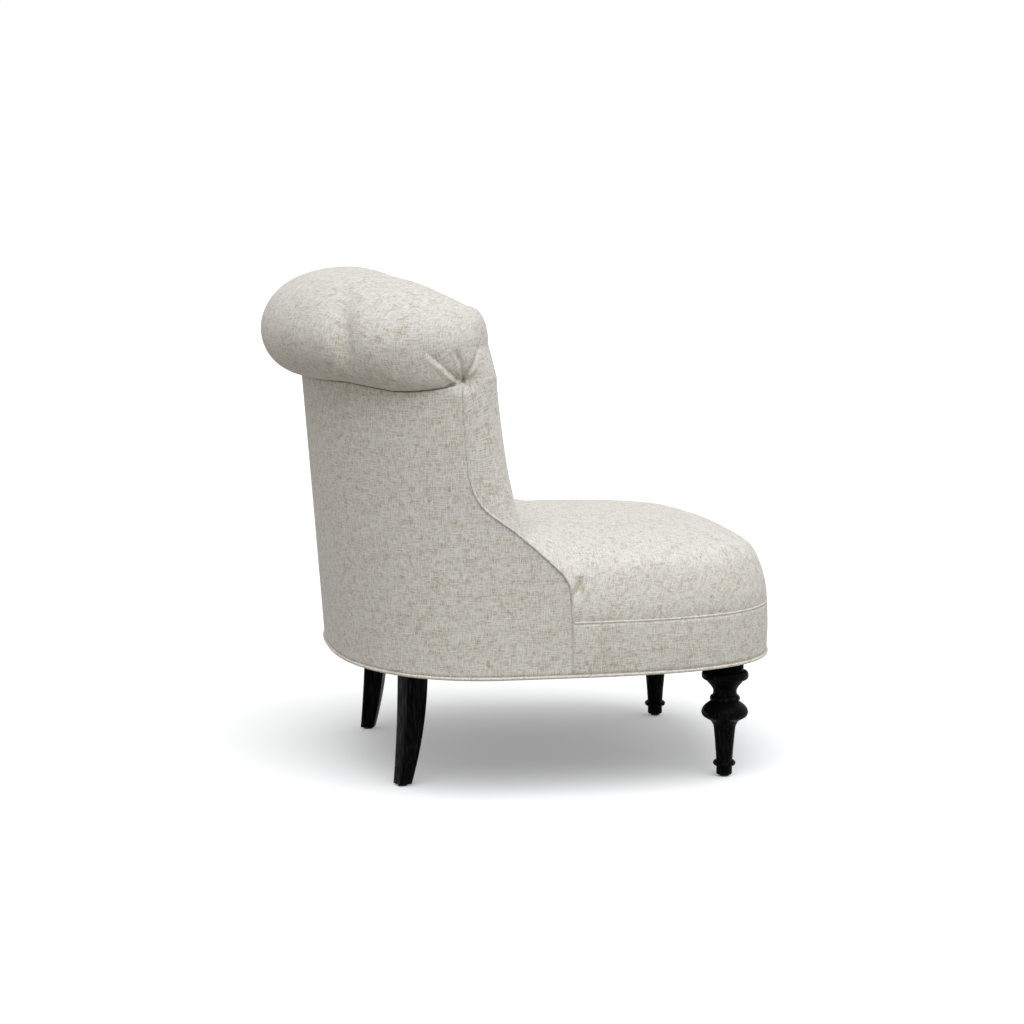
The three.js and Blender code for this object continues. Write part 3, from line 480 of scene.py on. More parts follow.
def polyline_gap(points, line):
    best = np.full(len(points), 1e9)
    share = np.zeros(len(points))
    line = np.asarray(line, float)
    total = len(line) - 1
    for k in range(total):
        a, b = line[k], line[k + 1]
        t = np.clip(((points - a) @ (b - a)) / ((b - a) @ (b - a)), 0, 1)
        gap = np.linalg.norm(points - a - t[:, None] * (b - a), axis=1)
        nearer = gap < best
        best[nearer], share[nearer] = gap[nearer], ((k + t) / total)[nearer]
    return best, share


pad_columns, pad_rim, pad_middle = 200, 0.043, -0.15
pad_rings = [(0.14, 1, -0.06), (-0.01, 1, 0), (-0.03, 1, 0.06), (0.02, 1, 0.2), (0.2, 1, 0.4),
             (0.5, 1, 0.62), (1, 1, 0.745), (1, 0.85, 0.85), (1, 0.64, 0.92), (1, 0.4, 0.968),
             (1, 0.2, 0.99), (1, 0.02, 1)]
shoulder_share, crown_room = 0.4, 0.0003
pad_slack, weave_rise = 0.0008, 0.03
seam_tuck, seam_tuck_start, seam_tuck_run = 0.004, 0.01, 0.03
tuck_stop, tuck_start, tuck_run = 0.03, 0.005, 0.05
pad_cell = 0.006
swell_cap, swell_sink, swell_pressure = 0.0035, 0.0005, 4.0
sewn_margin, sewn_rise, sewn_fade = 0.012, 0.006, 0.005
fold_depth, fold_swelling, fold_reach, fold_shoulder = 0.01, 0.0035, 0.005, 0.012
fold_start, fold_span = 0.15, 0.8
seam_fold = [(-0.3465, -0.0489, 0.3435), (-0.3488, -0.0468, 0.336), (-0.3506, -0.0433, 0.3269),
             (-0.3543, -0.0378, 0.3182), (-0.3571, -0.0333, 0.3093)]


def seat_cover():
    turns = np.arange(pad_columns) / pad_columns
    _, y, _, _ = plan_edge(turns)
    shoulder = np.clip(seam_height(y), shoulder_level, crown_level - crown_room)
    run = (fold(turns) - turn_at_y(wing_end_y - wing_sweep)) * girth
    thickness = wing_thickness + (rear_thickness_low - wing_thickness) * rear_share(turns)
    tucked = (thickness - tuck_stop) * soft_step((run - tuck_start) / tuck_run)
    behind_seam = seam_tuck * soft_step((y - seam_front_y - seam_tuck_start) / seam_tuck_run)
    rings = []
    for inward, scale, up in smooth_line(pad_rings, 4):
        low = band_level + (shoulder - band_level) * up / shoulder_share
        high = shoulder + (crown_level - shoulder) * (up - shoulder_share) / (1 - shoulder_share)
        z = np.where(up <= shoulder_share, low, high)
        out = -inward * pad_rim - tucked - behind_seam * (scale == 1) - pad_slack
        ring = wall(turns, out, base_level)
        middle = np.array([0, widest_y + pad_middle])
        ring[:, :2] = middle + (ring[:, :2] - middle) * scale
        ring[:, 2] = z - pad_slack * up
        rings.append(ring)
    piece = skin("seat_cover_linen", np.concatenate(rings), closed_tube(len(rings), pad_columns))
    remesh = piece.modifiers.new("even", "REMESH")
    remesh.mode = "VOXEL"
    remesh.voxel_size = pad_cell
    bpy.context.view_layer.objects.active = piece
    bpy.ops.object.modifier_apply(modifier="even")
    points = places(piece)
    y = points[:, 1] - widest_y
    behind = np.clip((y - seam_place(points[:, 2]) + sewn_margin) / sewn_margin, 0, 1)
    low = np.clip((band_level + sewn_rise - points[:, 2]) / sewn_fade, 0, 1)
    swell(piece, swell_cap, swell_sink, swell_pressure, np.maximum(behind, low))
    rounder = piece.modifiers.new("rounder", "SUBSURF")
    rounder.levels = rounder.render_levels = 1
    bpy.context.view_layer.objects.active = piece
    bpy.ops.object.modifier_apply(modifier="rounder")
    piece.data.shade_smooth()
    points = places(piece)
    for sign in (1, -1):
        gap, share = polyline_gap(points, np.array(seam_fold) * np.array([sign, 1, 1]))
        fade = np.sin(math.pi * np.clip(share * fold_span + fold_start, 0, 1))
        groove = fold_depth * np.exp(-((gap / fold_reach) ** 2))
        swelling = fold_swelling * np.exp(-(((gap - fold_shoulder) / fold_reach) ** 2))
        points[:, 0] -= np.sign(points[:, 0]) * fade * (groove - swelling)
    move_points(piece, points)
    lay_weave(piece, wrapped_weave(points, shoulder_level + weave_rise))
    return piece


seat = seat_cover()
seat.data.materials.append(cover_linen)
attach(seat, "root")
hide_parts("seat_cover")

# Front band and outside cover: two flat panels of the same linen, pulled tight over the rails
# and boards between the welts. They meet at the side seams, where the outside cover's front
# edges are turned in, and both are drawn in under each wing at the pinch of its pleats.
cover_thickness = 0.003
cover_stand_out = 0.0004
band_bottom = base_level + 0.0055
band_top = band_level - 0.001
panel_top = neck_level - 0.002
under_roll_level = 0.6
under_roll_start = under_roll_level + 0.004
band_bulge, panel_gap = 0.0015, 0.0001
band_rows, band_columns, outside_columns = 14, 260, 240
turned_edge = (-0.001, -0.003, -0.007, -0.016)
pinch = (-0.3473, 0.136, 0.6585)
pinch_depth, pinch_reach = 0.009, 0.014
neck_lift = [(0.123, 0.013), (0.1387, 0.009), (0.15, 0.005), (0.1659, 0.001), (0.185, -0.0025),
             (0.21, -0.006), (0.2377, -0.007), (0.27, -0.0025), (0.3023, 0.002), (0.34, 0)]
neck_lift_reach = 0.05


def lifted(points, weight=1.0):
    lift_y, lift_z = zip(*neck_lift)
    rise = np.interp(points[:, 1], lift_y, lift_z)
    near = np.exp(-(((points[:, 2] - neck_level) / neck_lift_reach) ** 2))
    moved = points.copy()
    moved[:, 2] += rise * near * weight
    return moved


def panel(name, turns, heights, bulge=0.0, turned_in=()):
    rows, across = [], []
    for row, z in zip(turns, heights):
        share = (z - heights[0]) / (heights[-1] - heights[0])
        row = np.concatenate([[row[0]] * len(turned_in), row, [row[-1]] * len(turned_in)])
        out = np.zeros(len(row))
        if turned_in:
            out[:len(turned_in)], out[-len(turned_in):] = turned_in[::-1], turned_in
        rows.append(wall(row, cover_stand_out + bulge * math.sin(math.pi * share) + out, z))
        from_middle = row - 0.5 * (row[0] + row[-1])
        across.append(from_middle * girth + out * np.sign(from_middle))
    points = lifted(np.concatenate(rows))
    for side in (1, -1):
        near = np.linalg.norm(points - np.array(pinch) * [side, 1, 1], axis=1)
        points[:, 0] += side * pinch_depth * np.exp(-((near / pinch_reach) ** 2))
    weave = np.stack([np.concatenate(across), points[:, 2]], -1)
    piece = skin(name, points, strips(len(rows), len(rows[0]), False), weave)
    cloth = piece.modifiers.new("cloth", "SOLIDIFY")
    cloth.thickness = cover_thickness
    cloth.offset = -1
    return piece


seam_turn = float(turn_at_y(seam_front_y))
band_heights = np.linspace(band_bottom, band_top, band_rows)
band_turns = np.linspace(-seam_turn + panel_gap, seam_turn - panel_gap, band_columns)
band = panel("front_band_linen", [band_turns] * band_rows, band_heights, band_bulge)
tall = np.linspace(band_bottom, under_roll_level, 84)
under_roll = np.linspace(under_roll_start, panel_top, 14)
outside_heights = np.concatenate([tall, under_roll])
outside_turns = []
for height in outside_heights:
    start = float(turn_at_y(float(seam_place(height)) if height > band_level else seam_front_y))
    outside_turns.append(np.linspace(start + panel_gap, 1 - start - panel_gap, outside_columns))
outside = panel("outside_cover_linen", outside_turns, outside_heights, 0.0, turned_edge)
for piece, node in ((band, "front_band"), (outside, "outside_cover")):
    piece.data.materials.append(cover_linen)
    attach(piece, "root")
    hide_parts(node)

# Inside back: one padded cover that lines the back, rounds both wings and rolls over the top
# rail. Buttons pull it in at the neck and below it, pleats fan out from a pinch at each wing's
# seam, and the roll has a soft valley where it turns the rear corner.
rear_thickness = 0.12
roll_half_height, roll_top_rise, side_sag = 0.072, 0.098, 0.012
roll_level = neck_level + roll_half_height
roll_overhang, roll_overhang_run = 0.067, 0.26
roll_bulge, wing_bulge = 0.045, 0.02
ridge_inset = 0.069
wing_drop, wing_drop_run = 0.047, 0.3
roll_power, side_slope, side_fullness = 2.2, 0.35, 0.03
nose_length, nose_setback, crest_round = 0.055, 0.02, 1.08
tuft_spacing, tuft_drop = 0.17, 0.104
tuft_depth, tuft_floor, tuft_radius = 0.026, 0.008, 0.02
crease_depth, crease_radius, crease_low, crease_rise = 0.013, 0.012, 0.3, 0.07
puff_height, puff_reach = 0.008, 0.05
neck_nip, nip_reach = 0.005, 0.05
rail_tuck, rail_tuck_run, rail_tuck_start, rail_tuck_rise = 0.006, 0.012, 0.002, 0.01
long_pleat = [(-0.3473, 0.1387, 0.6571), (-0.3467, 0.1618, 0.6763), (-0.3474, 0.1835, 0.6951),
              (-0.3443, 0.202, 0.7104)]
middle_pleat = [(-0.3475, 0.1365, 0.6609), (-0.3469, 0.1401, 0.6837), (-0.3471, 0.1489, 0.7067)]
front_pleat = [(-0.3471, 0.1311, 0.6658), (-0.3471, 0.122, 0.681), (-0.3371, 0.112, 0.7011),
               (-0.3174, 0.1003, 0.7259)]
pleats = [
    (long_pleat, 0.008, (0.004, -0.006), 0.0045),
    (middle_pleat, 0.016, (0.0055, 0.0), 0.003),
    (front_pleat, 0.011, (-0.0045, -0.001), 0.003),
]
pleat_reach, ridge_share = 0.0028, 0.4
roll_valley = [(-0.2154, 0.301, 0.7937), (-0.2515, 0.3085, 0.7722), (-0.2716, 0.3141, 0.7502),
               (-0.2812, 0.317, 0.7276), (-0.2838, 0.3159, 0.7046), (-0.282, 0.3112, 0.6859),
               (-0.273, 0.3025, 0.6665)]
valley_depth, valley_reach = 0.013, 0.018
bank_height, bank_gap, bank_reach = 0.003, 0.05, 0.025
lobe_crease = [(-0.3395, 0.1659, 0.6505), (-0.3473, 0.146, 0.654), (-0.3473, 0.136, 0.6585)]
lobe_depth, lobe_reach = 0.006, 0.004
neck_crease = [(-0.3473, 0.136, 0.6585), (-0.3478, 0.1232, 0.6621), (-0.3388, 0.103, 0.6618),
               (-0.3205, 0.0858, 0.6609)]
neck_depth, neck_reach = 0.004, 0.01
knot_depth, knot_reach = 0.005, 0.005
swing_angle, swing_reach = 0.45, 0.13
nose_fade = 25.0
columns_per_tuft, end_columns, nose_steps = 24, 56, 56
flat_columns = 2 * columns_per_tuft
tuft_level = neck_level - tuft_drop
lining_foot = 0.29
low_angles, high_angles = [-90, -83, -77, -72.5, -69, -66.5], [82.5, 84.8, 86.6, 88, 89, 89.6]
under_angles, over_angles = np.linspace(-64.5, 2, 58), np.linspace(4, 80, 38)
widest_ring = 62


def tuft_places():
    made = [((k - 2) * tuft_spacing, neck_level) for k in range(5)]
    return made + [((k - 1.5) * tuft_spacing, tuft_level) for k in range(4)]


def crease_lines():
    made = []
    for along, z in tuft_places():
        if z == neck_level:
            made.append(((along, z), (along, z + 0.4)))
            for other, lower in tuft_places():
                if lower == tuft_level and abs(abs(other - along) - tuft_spacing / 2) < 0.001:
                    made.append(((along, z), (other, lower)))
        else:
            made.append(((along, z), (along, 0)))
    return made


def line_distance(along, z, line):
    (x0, z0), (x1, z1) = line
    dx, dz = x1 - x0, z1 - z0
    share = np.clip(((along - x0) * dx + (z - z0) * dz) / (dx * dx + dz * dz), 0, 1)
    return np.hypot(along - x0 - share * dx, z - z0 - share * dz)


def tuft_pull(turn, z):
    along = (turn - 0.5) * girth
    near_line = np.min([line_distance(along, z, line) for line in crease_lines()], axis=0)
    near_tuft = np.min([np.hypot(along - a, z - b) for a, b in tuft_places()], axis=0)
    held = crease_low + (1 - crease_low) * soft_step((z - crown_level) / crease_rise)
    pull = held * crease_depth * np.exp(-(near_line / crease_radius))
    rim = np.maximum(0, near_tuft - tuft_floor)
    pull = np.maximum(pull, tuft_depth * np.exp(-((rim / tuft_radius) ** 1.2)))
    return pull - puff_height * (1 - np.exp(-((near_line / puff_reach) ** 2)))


def end_turn(z):
    low = np.clip((neck_level - z) / (neck_level - crown_level), 0, 1)
    return float(turn_at_y(wing_end_y - wing_sweep * low ** 2))


def ease_out(share):
    return 1 - (1 - np.clip(share, 0, 1)) ** 2


def back_section(turn, kind, value):
    share = rear_share(turn)
    z = value if kind == "height" else neck_level
    above = min(1.0, max(0.0, (z - crown_level) / (neck_level - crown_level)))
    at_rear = rear_thickness_low + (rear_thickness - rear_thickness_low) * above
    thickness = wing_thickness + (at_rear - wing_thickness) * share
    if kind == "height":
        return 0 * share, -thickness, z + 0 * share, z
    angle = math.radians(value)
    run = np.maximum(0, fold(turn) - wing_turn) * girth
    overhang = roll_overhang * ease_out(run / roll_overhang_run)
    bulge = wing_bulge + (roll_bulge - wing_bulge) * share
    half_height = roll_half_height - side_sag * (1 - share)
    widest = neck_level + half_height
    if value <= 0:
        inner = -thickness - bulge * math.sin(math.pi / 2 * (1 + math.sin(angle)))
        return overhang * math.cos(angle), inner, widest + half_height * math.sin(angle), neck_level
    across = math.cos(angle) ** (2 / roll_power)
    up = math.sin(angle) + side_fullness * math.sin(2 * angle) ** 2
    rise = roll_level + roll_top_rise - wing_drop * (1 - ease_out(run / wing_drop_run)) - widest
    outer = -ridge_inset + (overhang + ridge_inset) * math.cos(angle) ** (1 + side_slope * (1 - share))
    inner = -ridge_inset + (-thickness - bulge + ridge_inset) * across
    return outer, inner, widest + rise * up, neck_level


def back_ring(kind, value):
    stop = end_turn(value if kind == "height" else neck_level)
    column = np.arange(-flat_columns - end_columns, flat_columns + end_columns + 1)
    flat = np.minimum(np.abs(column), flat_columns) * tuft_spacing / columns_per_tuft / girth
    share = np.maximum(0, np.abs(column) - flat_columns) / end_columns
    turn = 0.5 + np.sign(column) * (flat + (0.5 - stop - flat) * share)
    outer, inner, z, lean_z = back_section(turn, kind, value)
    crest = math.cos(math.radians(value)) ** (2 / roll_power) if kind == "roll" and value > 0 else 1.0
    lift = 1 + min(0.0, math.sin(math.radians(value))) if kind == "roll" else 0.0
    end_gap = float(z[0]) - neck_level
    nip = neck_nip * math.exp(-((end_gap / nip_reach) ** 2))
    reach = (nose_length - nose_setback * lift) * crest ** crest_round - nip
    tuck = 0
    if kind == "height":
        behind = plan_edge(turn)[1] - seam_place(value)
        past_seam = soft_step((behind - rail_tuck_start) / rail_tuck_rise)
        tuck = rail_tuck * past_seam * soft_step((fold(turn) - stop) * girth / rail_tuck_run)
    pull = tuft_pull(turn, z) * crest
    outer_points = wall(turn, outer - tuck, lean_z)
    inner_points = wall(turn, inner + pull, lean_z)
    outer_points[:, 2] = z
    inner_points[:, 2] = z
    noses = []
    for end in (0, -1):
        _, _, nx, ny = (float(v) for v in plan_edge(turn[end]))
        middle = (outer_points[end] + inner_points[end]) / 2
        half = (outer_points[end] - inner_points[end]) / 2
        forward = np.array([ny, -nx, 0]) * (1 if end == 0 else -1)
        angles = np.linspace(0, math.pi / 2, nose_steps + 1)[1:]
        front = [middle + half * math.cos(a) + forward * reach * math.sin(a) for a in angles]
        back = [middle - half * math.cos(a) + forward * reach * math.sin(a) for a in angles[:-1]]
        noses.append((front, back))
    (first_front, first_back), (last_front, last_back) = noses
    chain = first_front[::-1] + list(outer_points) + last_front + last_back[::-1]
    chain += list(inner_points)[::-1] + first_back
    return np.array(chain)


def corner_weave(piece, rows, columns, outer_middle, inner_middle, neck_row, widest_row):
    points = places(piece).reshape(rows, columns, 3)
    steps = np.linalg.norm(np.roll(points, -1, 1) - points, axis=2)
    steps = (steps[neck_row] + steps[widest_row]) / 2
    order = (np.arange(columns) + outer_middle) % columns
    along = np.zeros(columns)
    along[order[1:]] = np.cumsum(steps[order[:-1]])
    around = steps.sum()
    past = np.zeros(columns, bool)
    past[order[(inner_middle - outer_middle) % columns + 1:]] = True
    along = np.broadcast_to(np.where(past, along - around, along), (rows, columns))
    plain = (outer_middle + np.arange(-flat_columns, flat_columns)) % columns
    climbs = np.linalg.norm(np.diff(points[:, plain], axis=0), axis=2).mean(1)
    up = np.concatenate([[0], np.cumsum(climbs)])
    up = np.broadcast_to((up - up[neck_row] + neck_level)[:, None], along.shape)
    place = np.stack([along, up], -1).reshape(-1, 2)
    for side in (1, -1):
        hub = np.argmin(np.linalg.norm(points.reshape(-1, 3) - np.array(pinch) * [side, 1, 1], axis=1))
        away = place - place[hub]
        near = np.exp(-(np.linalg.norm(away, axis=1) / swing_reach) ** 2)
        angle = -swing_angle * np.sign(place[hub][0]) * near
        c, s = np.cos(angle), np.sin(angle)
        swung = [c * away[:, 0] - s * away[:, 1], s * away[:, 0] + c * away[:, 1]]
        place = np.stack(swung, -1) + place[hub]
    layer = piece.data.attributes.new("weave", "FLOAT_VECTOR", "CORNER")
    loops = np.zeros(len(piece.data.loops), np.int32)
    piece.data.loops.foreach_get("vertex_index", loops)
    flat = np.zeros((len(loops), 3), np.float32)
    flat[:, :2] = place[loops]
    wall_loops = (rows - 1) * columns * 4
    crossing = np.arange(wall_loops) // 4 % columns == inner_middle
    behind = past[loops[:wall_loops] % columns]
    flat[:wall_loops, 0] += np.where(crossing & behind, around, 0)
    flat[wall_loops:, :2] = places(piece)[loops[wall_loops:], :2]
    layer.data.foreach_set("vector", flat.ravel())


def back_cover():
    heights = list(np.linspace(lining_foot, under_roll_level, 50))
    heights += list(np.linspace(under_roll_start, panel_top, 16))
    angles = low_angles + list(under_angles) + list(over_angles) + high_angles
    levels = [("height", z) for z in heights] + [("roll", a) for a in angles]
    rings = [back_ring(*level) for level in levels]
    count = len(rings[0])
    points = np.concatenate(rings)
    faces = strips(len(rings), count, True)
    outer_columns = 2 * (flat_columns + end_columns) + 1
    outer_count = outer_columns + 2 * nose_steps
    last = (len(rings) - 1) * count
    for base, turned in ((0, True), (last, False)):
        for k in range(outer_count - 1):
            c, d = (-(k + 1)) % count, (-k) % count
            quad = [base + i for i in dict.fromkeys((k, k + 1, c, d))]
            if len(quad) > 2:
                faces.append(tuple(quad[::-1] if turned else quad))
    column = np.tile(np.arange(count), len(rings))
    into = np.minimum(column - outer_count, count - column) - nose_steps
    fade = np.where(column < outer_count, 1.0, np.exp(-(np.maximum(0, into) / nose_fade) ** 2))
    points = lifted(points, fade)
    piece = skin("inside_back_linen", points, faces)
    normals = directions(piece)
    sink = np.zeros(len(points))
    for side in (1, -1):
        mirror = np.array([side, 1, 1])
        for line, depth, ridge, ridge_width in pleats:
            gap, share = polyline_gap(points, np.array(line) * mirror)
            sink += depth * (1 - share) ** 0.6 * np.exp(-gap / pleat_reach)
            shifted = np.array(line) + np.array([0, ridge[0], ridge[1]])
            near, along = polyline_gap(points, shifted * mirror)
            sink -= ridge_share * depth * (1 - along) ** 0.7 * np.exp(-((near / ridge_width) ** 2))
        gap, share = polyline_gap(points, np.array(neck_crease) * mirror)
        sink += neck_depth * (1 - 0.8 * share) * np.exp(-((gap / neck_reach) ** 2))
        gap, share = polyline_gap(points, np.array(roll_valley) * mirror)
        fade = np.sin(math.pi * np.clip(share, 0, 1))
        bank = bank_height * np.exp(-(((gap - bank_gap) / bank_reach) ** 2))
        sink += fade * (valley_depth * np.exp(-((gap / valley_reach) ** 2)) - bank)
        gap, share = polyline_gap(points, np.array(lobe_crease) * mirror)
        sink += lobe_depth * np.sqrt(share) * np.exp(-gap / lobe_reach)
        gap = np.linalg.norm(points - np.array(pinch) * mirror, axis=1)
        knot = knot_depth * np.exp(-gap / knot_reach)
        sink += pinch_depth * np.exp(-((gap / pinch_reach) ** 2)) + knot
    move_points(piece, points - normals * sink[:, None])
    outer_middle = nose_steps + outer_columns // 2
    inner_middle = outer_count + nose_steps - 1 + outer_columns // 2
    neck_ring = len(heights)
    corner_weave(piece, len(rings), count, outer_middle, inner_middle, neck_ring, neck_ring + widest_ring)
    return piece


back = back_cover()
back.data.materials.append(cover_linen)
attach(back, "root")
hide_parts("inside_back_cover")

# Tufting buttons: domed steel shells covered in the same linen, drawn into the padding by
# twine that is tied off at the frame.
button_radius, button_thickness, button_seat, button_columns = 0.011, 0.007, 0.2, 28
button_dome = [(0, 1), (0.4, 0.96), (0.75, 0.78), (0.97, 0.42), (1.0, 0.12), (0.9, 0), (0, 0)]
button_profile = smooth_line(button_dome, 3)


def circle(count):
    angles = 2 * math.pi * np.arange(count) / count
    return [(math.cos(angle), math.sin(angle)) for angle in angles]


def button(name, along, z):
    _, _, nx, ny = (float(v) for v in plan_edge(0.5 + along / girth))
    low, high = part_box(name)
    spot = np.array([(low.x + high.x) / 2, (low.y + high.y) / 2, z])
    out = np.array([-nx, -ny, 0.0])
    side = np.array([ny, -nx, 0.0])
    rings, weave = [], []
    for radius, rise in button_profile:
        for c, s in circle(button_columns):
            offset = side * c * radius + np.array([0, 0, 1.0]) * s * radius
            rings.append(spot + out * (rise - button_seat) * button_thickness + offset * button_radius)
            weave.append((radius * c * button_radius, radius * s * button_radius))
    return skin(f"{name}_linen", rings, strips(len(button_profile), button_columns, True), weave)


for number, (along, z) in enumerate(tuft_places(), 1):
    node = f"tuft_button_{number}"
    knob = button(node, along, z)
    knob.data.materials.append(cover_linen)
    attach(knob, "root")
    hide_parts(node)

# Welts: cord in strips of the linen cut on the bias, sewn into the seams round the base, along
# the edge of the seat and up both sides.
base_cord, seat_cord, side_cord = 0.0026, 0.0018, 0.0018
fine_seam, fine_seam_level, fine_seam_run = 0.0007, 0.545, 0.06
cord_columns, base_columns, seat_columns, foot_columns = 12, 600, 360, 8
base_stand_out, seat_stand_out, side_stand_out = 0.0006, -0.0004, 0.0004
base_cord_rise, seat_cord_gap, foot_gap, cord_start, cord_run = 0.0028, 0.002, 0.004, 0.003, 0.012
bias_linen = linen("bias_linen", math.radians(45))


def welt(name, line, radii, closed=False):
    line = np.asarray(line, float)
    radii = np.broadcast_to(radii, len(line))
    ahead = np.roll(line, -1, 0) - np.roll(line, 1, 0)
    if not closed:
        ahead[0], ahead[-1] = line[1] - line[0], line[-1] - line[-2]
    ahead /= np.linalg.norm(ahead, axis=1, keepdims=True)
    run = np.concatenate([[0], np.cumsum(np.linalg.norm(np.diff(line, axis=0), axis=1))])
    outward = np.stack([line[:, 0], line[:, 1] - widest_y, 0 * line[:, 2]], -1)
    side = np.cross(ahead, outward)
    side /= np.linalg.norm(side, axis=1, keepdims=True)
    up = np.cross(side, ahead)
    count = cord_columns
    points, weave = [], []
    for k in range(len(line)):
        for j in range(count):
            angle = 2 * math.pi * j / count
            points.append(line[k] + radii[k] * (side[k] * math.cos(angle) + up[k] * math.sin(angle)))
            weave.append((run[k], radii[k] * angle))
    faces = closed_tube(len(line), count)
    if closed:
        last = (len(line) - 1) * count
        faces[-2:] = [(last + j, last + (j + 1) % count, (j + 1) % count, j) for j in range(count)]
    return skin(name, points, faces, weave)


base_line = wall(np.arange(base_columns) / base_columns, base_stand_out, base_level + base_cord_rise)
seat_stop = seam_turn - seat_cord_gap / girth
seat_line = wall(np.linspace(-seat_stop, seat_stop, seat_columns), seat_stand_out, band_level)
seam_run_y = np.concatenate([[seam_front_y] * foot_columns, seam_y])
seam_run_z = np.concatenate([np.linspace(band_bottom, band_level - foot_gap, foot_columns), seam_z])
past_band = soft_step((seam_run_z - band_level + cord_start) / cord_run)
below_curve = soft_step((fine_seam_level - seam_run_z) / fine_seam_run)
seam_cords = fine_seam + (side_cord - fine_seam) * past_band * below_curve
seam_stand_out = side_stand_out + 0.3 * seam_cords
seam_stop_z = np.minimum(seam_run_z, panel_top)
left_seam = lifted(wall(turn_at_y(seam_run_y), seam_stand_out, seam_stop_z))
right_seam = left_seam * np.array([-1, 1, 1])
for name, node, line, radii, closed in (
    ("base_welt_linen", "base_welt", base_line, base_cord, True),
    ("seat_welt_linen", "seat_welt", seat_line, seat_cord, False),
    ("side_welt_left_linen", "side_welt_left", left_seam, seam_cords, False),
    ("side_welt_right_linen", "side_welt_right", right_seam[::-1], seam_cords[::-1], False),
):
    piece = welt(name, line, radii, closed)
    piece.data.materials.append(bias_linen)
    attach(piece, "root")
    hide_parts(node)

# Legs: hardwood under sprayed black lacquer, bolted up into the corner blocks. The front pair is
# turned from three inch stock: foot, ankle ring, tapered shaft, bulb, bead, flared neck and top
# ring. The rear pair is sawn square, tapered and swept back.
leg_bottom, leg_top = 0.0033, 0.1932
front_leg_radius, front_leg_columns = 0.0382, 64
grain_grid, gloss_band, gloss_levels, plain_gloss = (700, 700, 26), (0.48, 0.74), (0.01, 0.12), 0.05
wear_scale, wear_levels = 60.0, (0.24, 0.42)
lacquer_tones = [(0.35, (0.002, 0.002, 0.002, 1)), (0.7, (0.007, 0.0068, 0.0066, 1))]
front_leg_parts = [
    [(0.31, 0), (0.335, 0.01), (0.335, 0.04), (0.335, 0.072)],
    [(0.36, 0.073), (0.44, 0.08), (0.485, 0.098), (0.44, 0.116), (0.35, 0.127)],
    [(0.35, 0.128), (0.365, 0.18), (0.4, 0.27), (0.465, 0.406), (0.525, 0.442), (0.62, 0.469),
     (0.75, 0.484)],
    [(0.76, 0.486), (0.917, 0.505), (0.987, 0.531), (0.995, 0.552), (0.943, 0.578), (0.827, 0.605),
     (0.646, 0.633), (0.58, 0.641)],
    [(0.58, 0.643), (0.635, 0.65), (0.645, 0.664), (0.607, 0.683), (0.54, 0.692)],
    [(0.525, 0.695), (0.5, 0.725), (0.54, 0.751), (0.64, 0.78), (0.762, 0.808), (0.775, 0.819)],
    [(0.8, 0.82), (0.905, 0.827), (0.985, 0.843), (1, 0.866), (0.975, 0.888), (0.9, 0.902), (0.8, 0.908)],
    [(0.783, 0.91), (0.783, 1)],
]


def black_lacquer():
    material, tree, shader = new_material("black_lacquer", 0.3)
    place = object_place(tree)
    grain = noise(tree, stretched(tree, place, grain_grid), 1.0, 4.0, 0.6)
    wear = noise(tree, place, wear_scale, 3.0)
    gloss = ranged(tree, grain, gloss_band, gloss_levels, "SMOOTHSTEP")
    shader.inputs["Specular IOR Level"].default_value = plain_gloss
    tree.links.new(gloss, shader.inputs["Specular IOR Level"])
    tree.links.new(ramp(tree, grain, lacquer_tones), shader.inputs["Base Color"])
    tree.links.new(ranged(tree, wear, (0, 1), wear_levels), shader.inputs["Roughness"])
    bump(tree, shader, grain, 0.0002, 0.35)
    return material


lacquer = black_lacquer()


def front_leg(name, x, y):
    profile = [(0, 0)]
    for part in front_leg_parts:
        profile += [tuple(p) for p in smooth_line(part, 4 if len(part) > 2 else 1)]
    profile.append((0, 1))
    points = []
    for radius, up in profile:
        z = leg_bottom + (leg_top - leg_bottom) * up
        for c, s in circle(front_leg_columns):
            points.append((x + radius * front_leg_radius * c, y + radius * front_leg_radius * s, z))
    return skin(name, points, strips(len(profile), front_leg_columns, True))


rear_leg_width, rear_foot_width, rear_leg_sweep = 0.037, 0.023, 0.017
rear_leg_round, rear_leg_corner, rear_leg_sections, rear_leg_turn = 0.0022, 5, 24, 20


def rear_leg(name, x, top_y, sign):
    turn = math.radians(45 - rear_leg_turn * sign)
    sections, corner = rear_leg_sections, rear_leg_corner
    points = []
    for k in range(sections + 1):
        fall = (k / sections) ** 2
        width = rear_leg_width + (rear_foot_width - rear_leg_width) * fall
        y = top_y + rear_leg_sweep * fall
        z = leg_top + (leg_bottom - leg_top) * k / sections
        for q in range(4):
            heading = turn + math.pi / 2 * q
            hub = (width / 2 - rear_leg_round) * math.sqrt(2)
            cx, cy = x + hub * math.cos(heading), y + hub * math.sin(heading)
            for j in range(corner):
                a = heading - math.pi / 4 + math.pi / 2 * j / (corner - 1)
                points.append((cx + rear_leg_round * math.cos(a), cy + rear_leg_round * math.sin(a), z))
    return skin(name, points, closed_tube(sections + 1, 4 * corner))


for side, sign in (("left", 1), ("right", -1)):
    low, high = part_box(f"front_leg_{side}")
    turned = front_leg(f"front_leg_{side}_lacquered", (low.x + high.x) / 2, (low.y + high.y) / 2)
    low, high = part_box(f"leg_bolt_rear_{side}")
    square = rear_leg(f"rear_leg_{side}_lacquered", (low.x + high.x) / 2, (low.y + high.y) / 2, sign)
    for piece, node in ((turned, f"front_leg_{side}"), (square, f"rear_leg_{side}")):
        piece.data.materials.append(lacquer)
        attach(piece, "root")
        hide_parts(node)

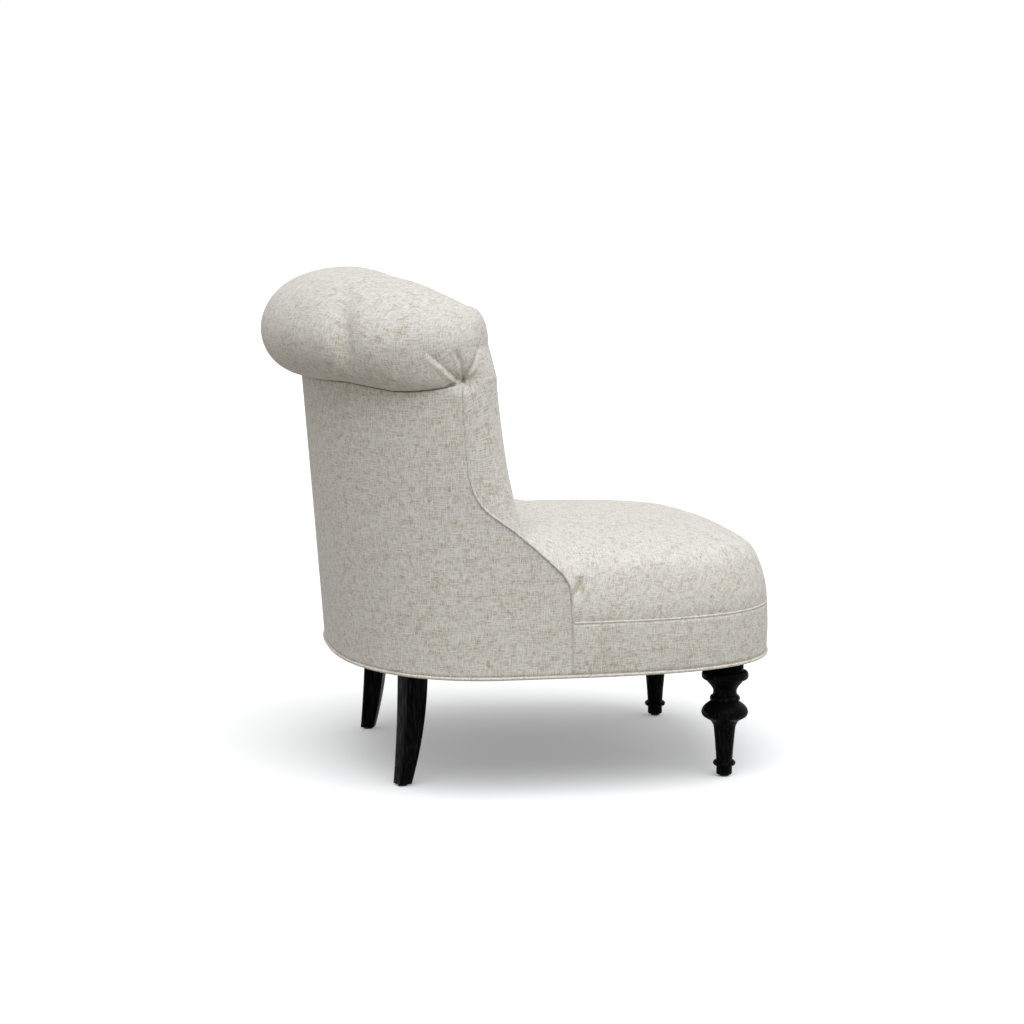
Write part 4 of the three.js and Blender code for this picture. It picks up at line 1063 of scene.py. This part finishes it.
# Underside: a thin black cloth of pressed fibre, stapled up under the rails to keep the dust in,
# and a moulded nylon glide nailed into the foot of each leg.
cloth_tones = [(0.3, (0.006, 0.006, 0.006, 1)), (0.7, (0.022, 0.022, 0.022, 1))]
nylon_tones = [(0.3, (0.02, 0.018, 0.015, 1)), (0.7, (0.045, 0.04, 0.034, 1))]
dust_cloth = grained("dust_cloth", 1.0, (350, 350, 350), 4.0, cloth_tones, (0.0003, 0.5))
nylon = grained("moulded_nylon", 0.5, (400, 400, 400), 3.0, nylon_tones, (0.0001, 0.3))
dress(dust_cloth, "dust_cover")
dress(nylon, "glide_front_left", "glide_front_right", "glide_rear_left", "glide_rear_right")

# The studio: a white sweep under a soft sky of light, with a broad lamp high on the eye's side
# and a weak fill from the chair's front. The floor's white is only for the eye and for
# reflections: it throws little light up at the chair.
sky_strength, high_strength, fill_strength = 0.49, 1.56, 0.6
high_spread, fill_spread = 56, 110
high_travel, fill_travel = (0.45, -0.05, -0.89), (0.1, 0.9, -0.42)
lamp_colour = (0.955, 0.98, 1.0)
white, lit_floor, floor_glow = (1, 1, 1, 1), (0.3, 0.28, 0.25, 1), 0.225
sweep = 60


def open_white(tree):
    paths = add_node(tree, "ShaderNodeLightPath")
    seen = paths.outputs["Is Camera Ray"]
    for kind in ("Is Glossy Ray", "Is Transmission Ray"):
        seen = reckoned(tree, "MAXIMUM", seen, paths.outputs[kind])
    return seen


floor_mesh = bpy.data.meshes.new("floor")
corners = [(-sweep, -sweep, 0), (sweep, -sweep, 0), (sweep, sweep, 0), (-sweep, sweep, 0)]
floor_mesh.from_pydata(corners, [], [(0, 1, 2, 3)])
floor = bpy.data.objects.new("floor", floor_mesh)
scene.collection.objects.link(floor)
floor_material, floor_tree, floor_shader = new_material("white_floor", 1.0)
floor_shader.inputs["Specular IOR Level"].default_value = 0.0
floor_shader.inputs["Emission Color"].default_value = white
floor_seen = open_white(floor_tree)
floor_colour = mixed(floor_tree, floor_seen, lit_floor, white)
floor_tree.links.new(floor_colour, floor_shader.inputs["Base Color"])
glow = reckoned(floor_tree, "MULTIPLY", floor_seen, floor_glow)
floor_tree.links.new(glow, floor_shader.inputs["Emission Strength"])
floor.data.materials.append(floor_material)

world = bpy.data.worlds.new("soft_white")
world.use_nodes = True
scene.world = world
sky = world.node_tree.nodes["Background"]
level = ranged(world.node_tree, open_white(world.node_tree), (0, 1), (sky_strength, 1.0))
world.node_tree.links.new(level, sky.inputs["Strength"])
sky.inputs["Color"].default_value = white

for name, strength, spread, travel in (
    ("high_lamp", high_strength, high_spread, high_travel),
    ("front_fill", fill_strength, fill_spread, fill_travel),
):
    lamp_data = bpy.data.lights.new(name, "SUN")
    lamp_data.energy = strength
    lamp_data.color = lamp_colour
    lamp_data.angle = math.radians(spread)
    lamp = bpy.data.objects.new(name, lamp_data)
    lamp.rotation_euler = Vector(travel).to_track_quat("-Z", "Y").to_euler()
    scene.collection.objects.link(lamp)

scene.view_settings.view_transform = "Standard"
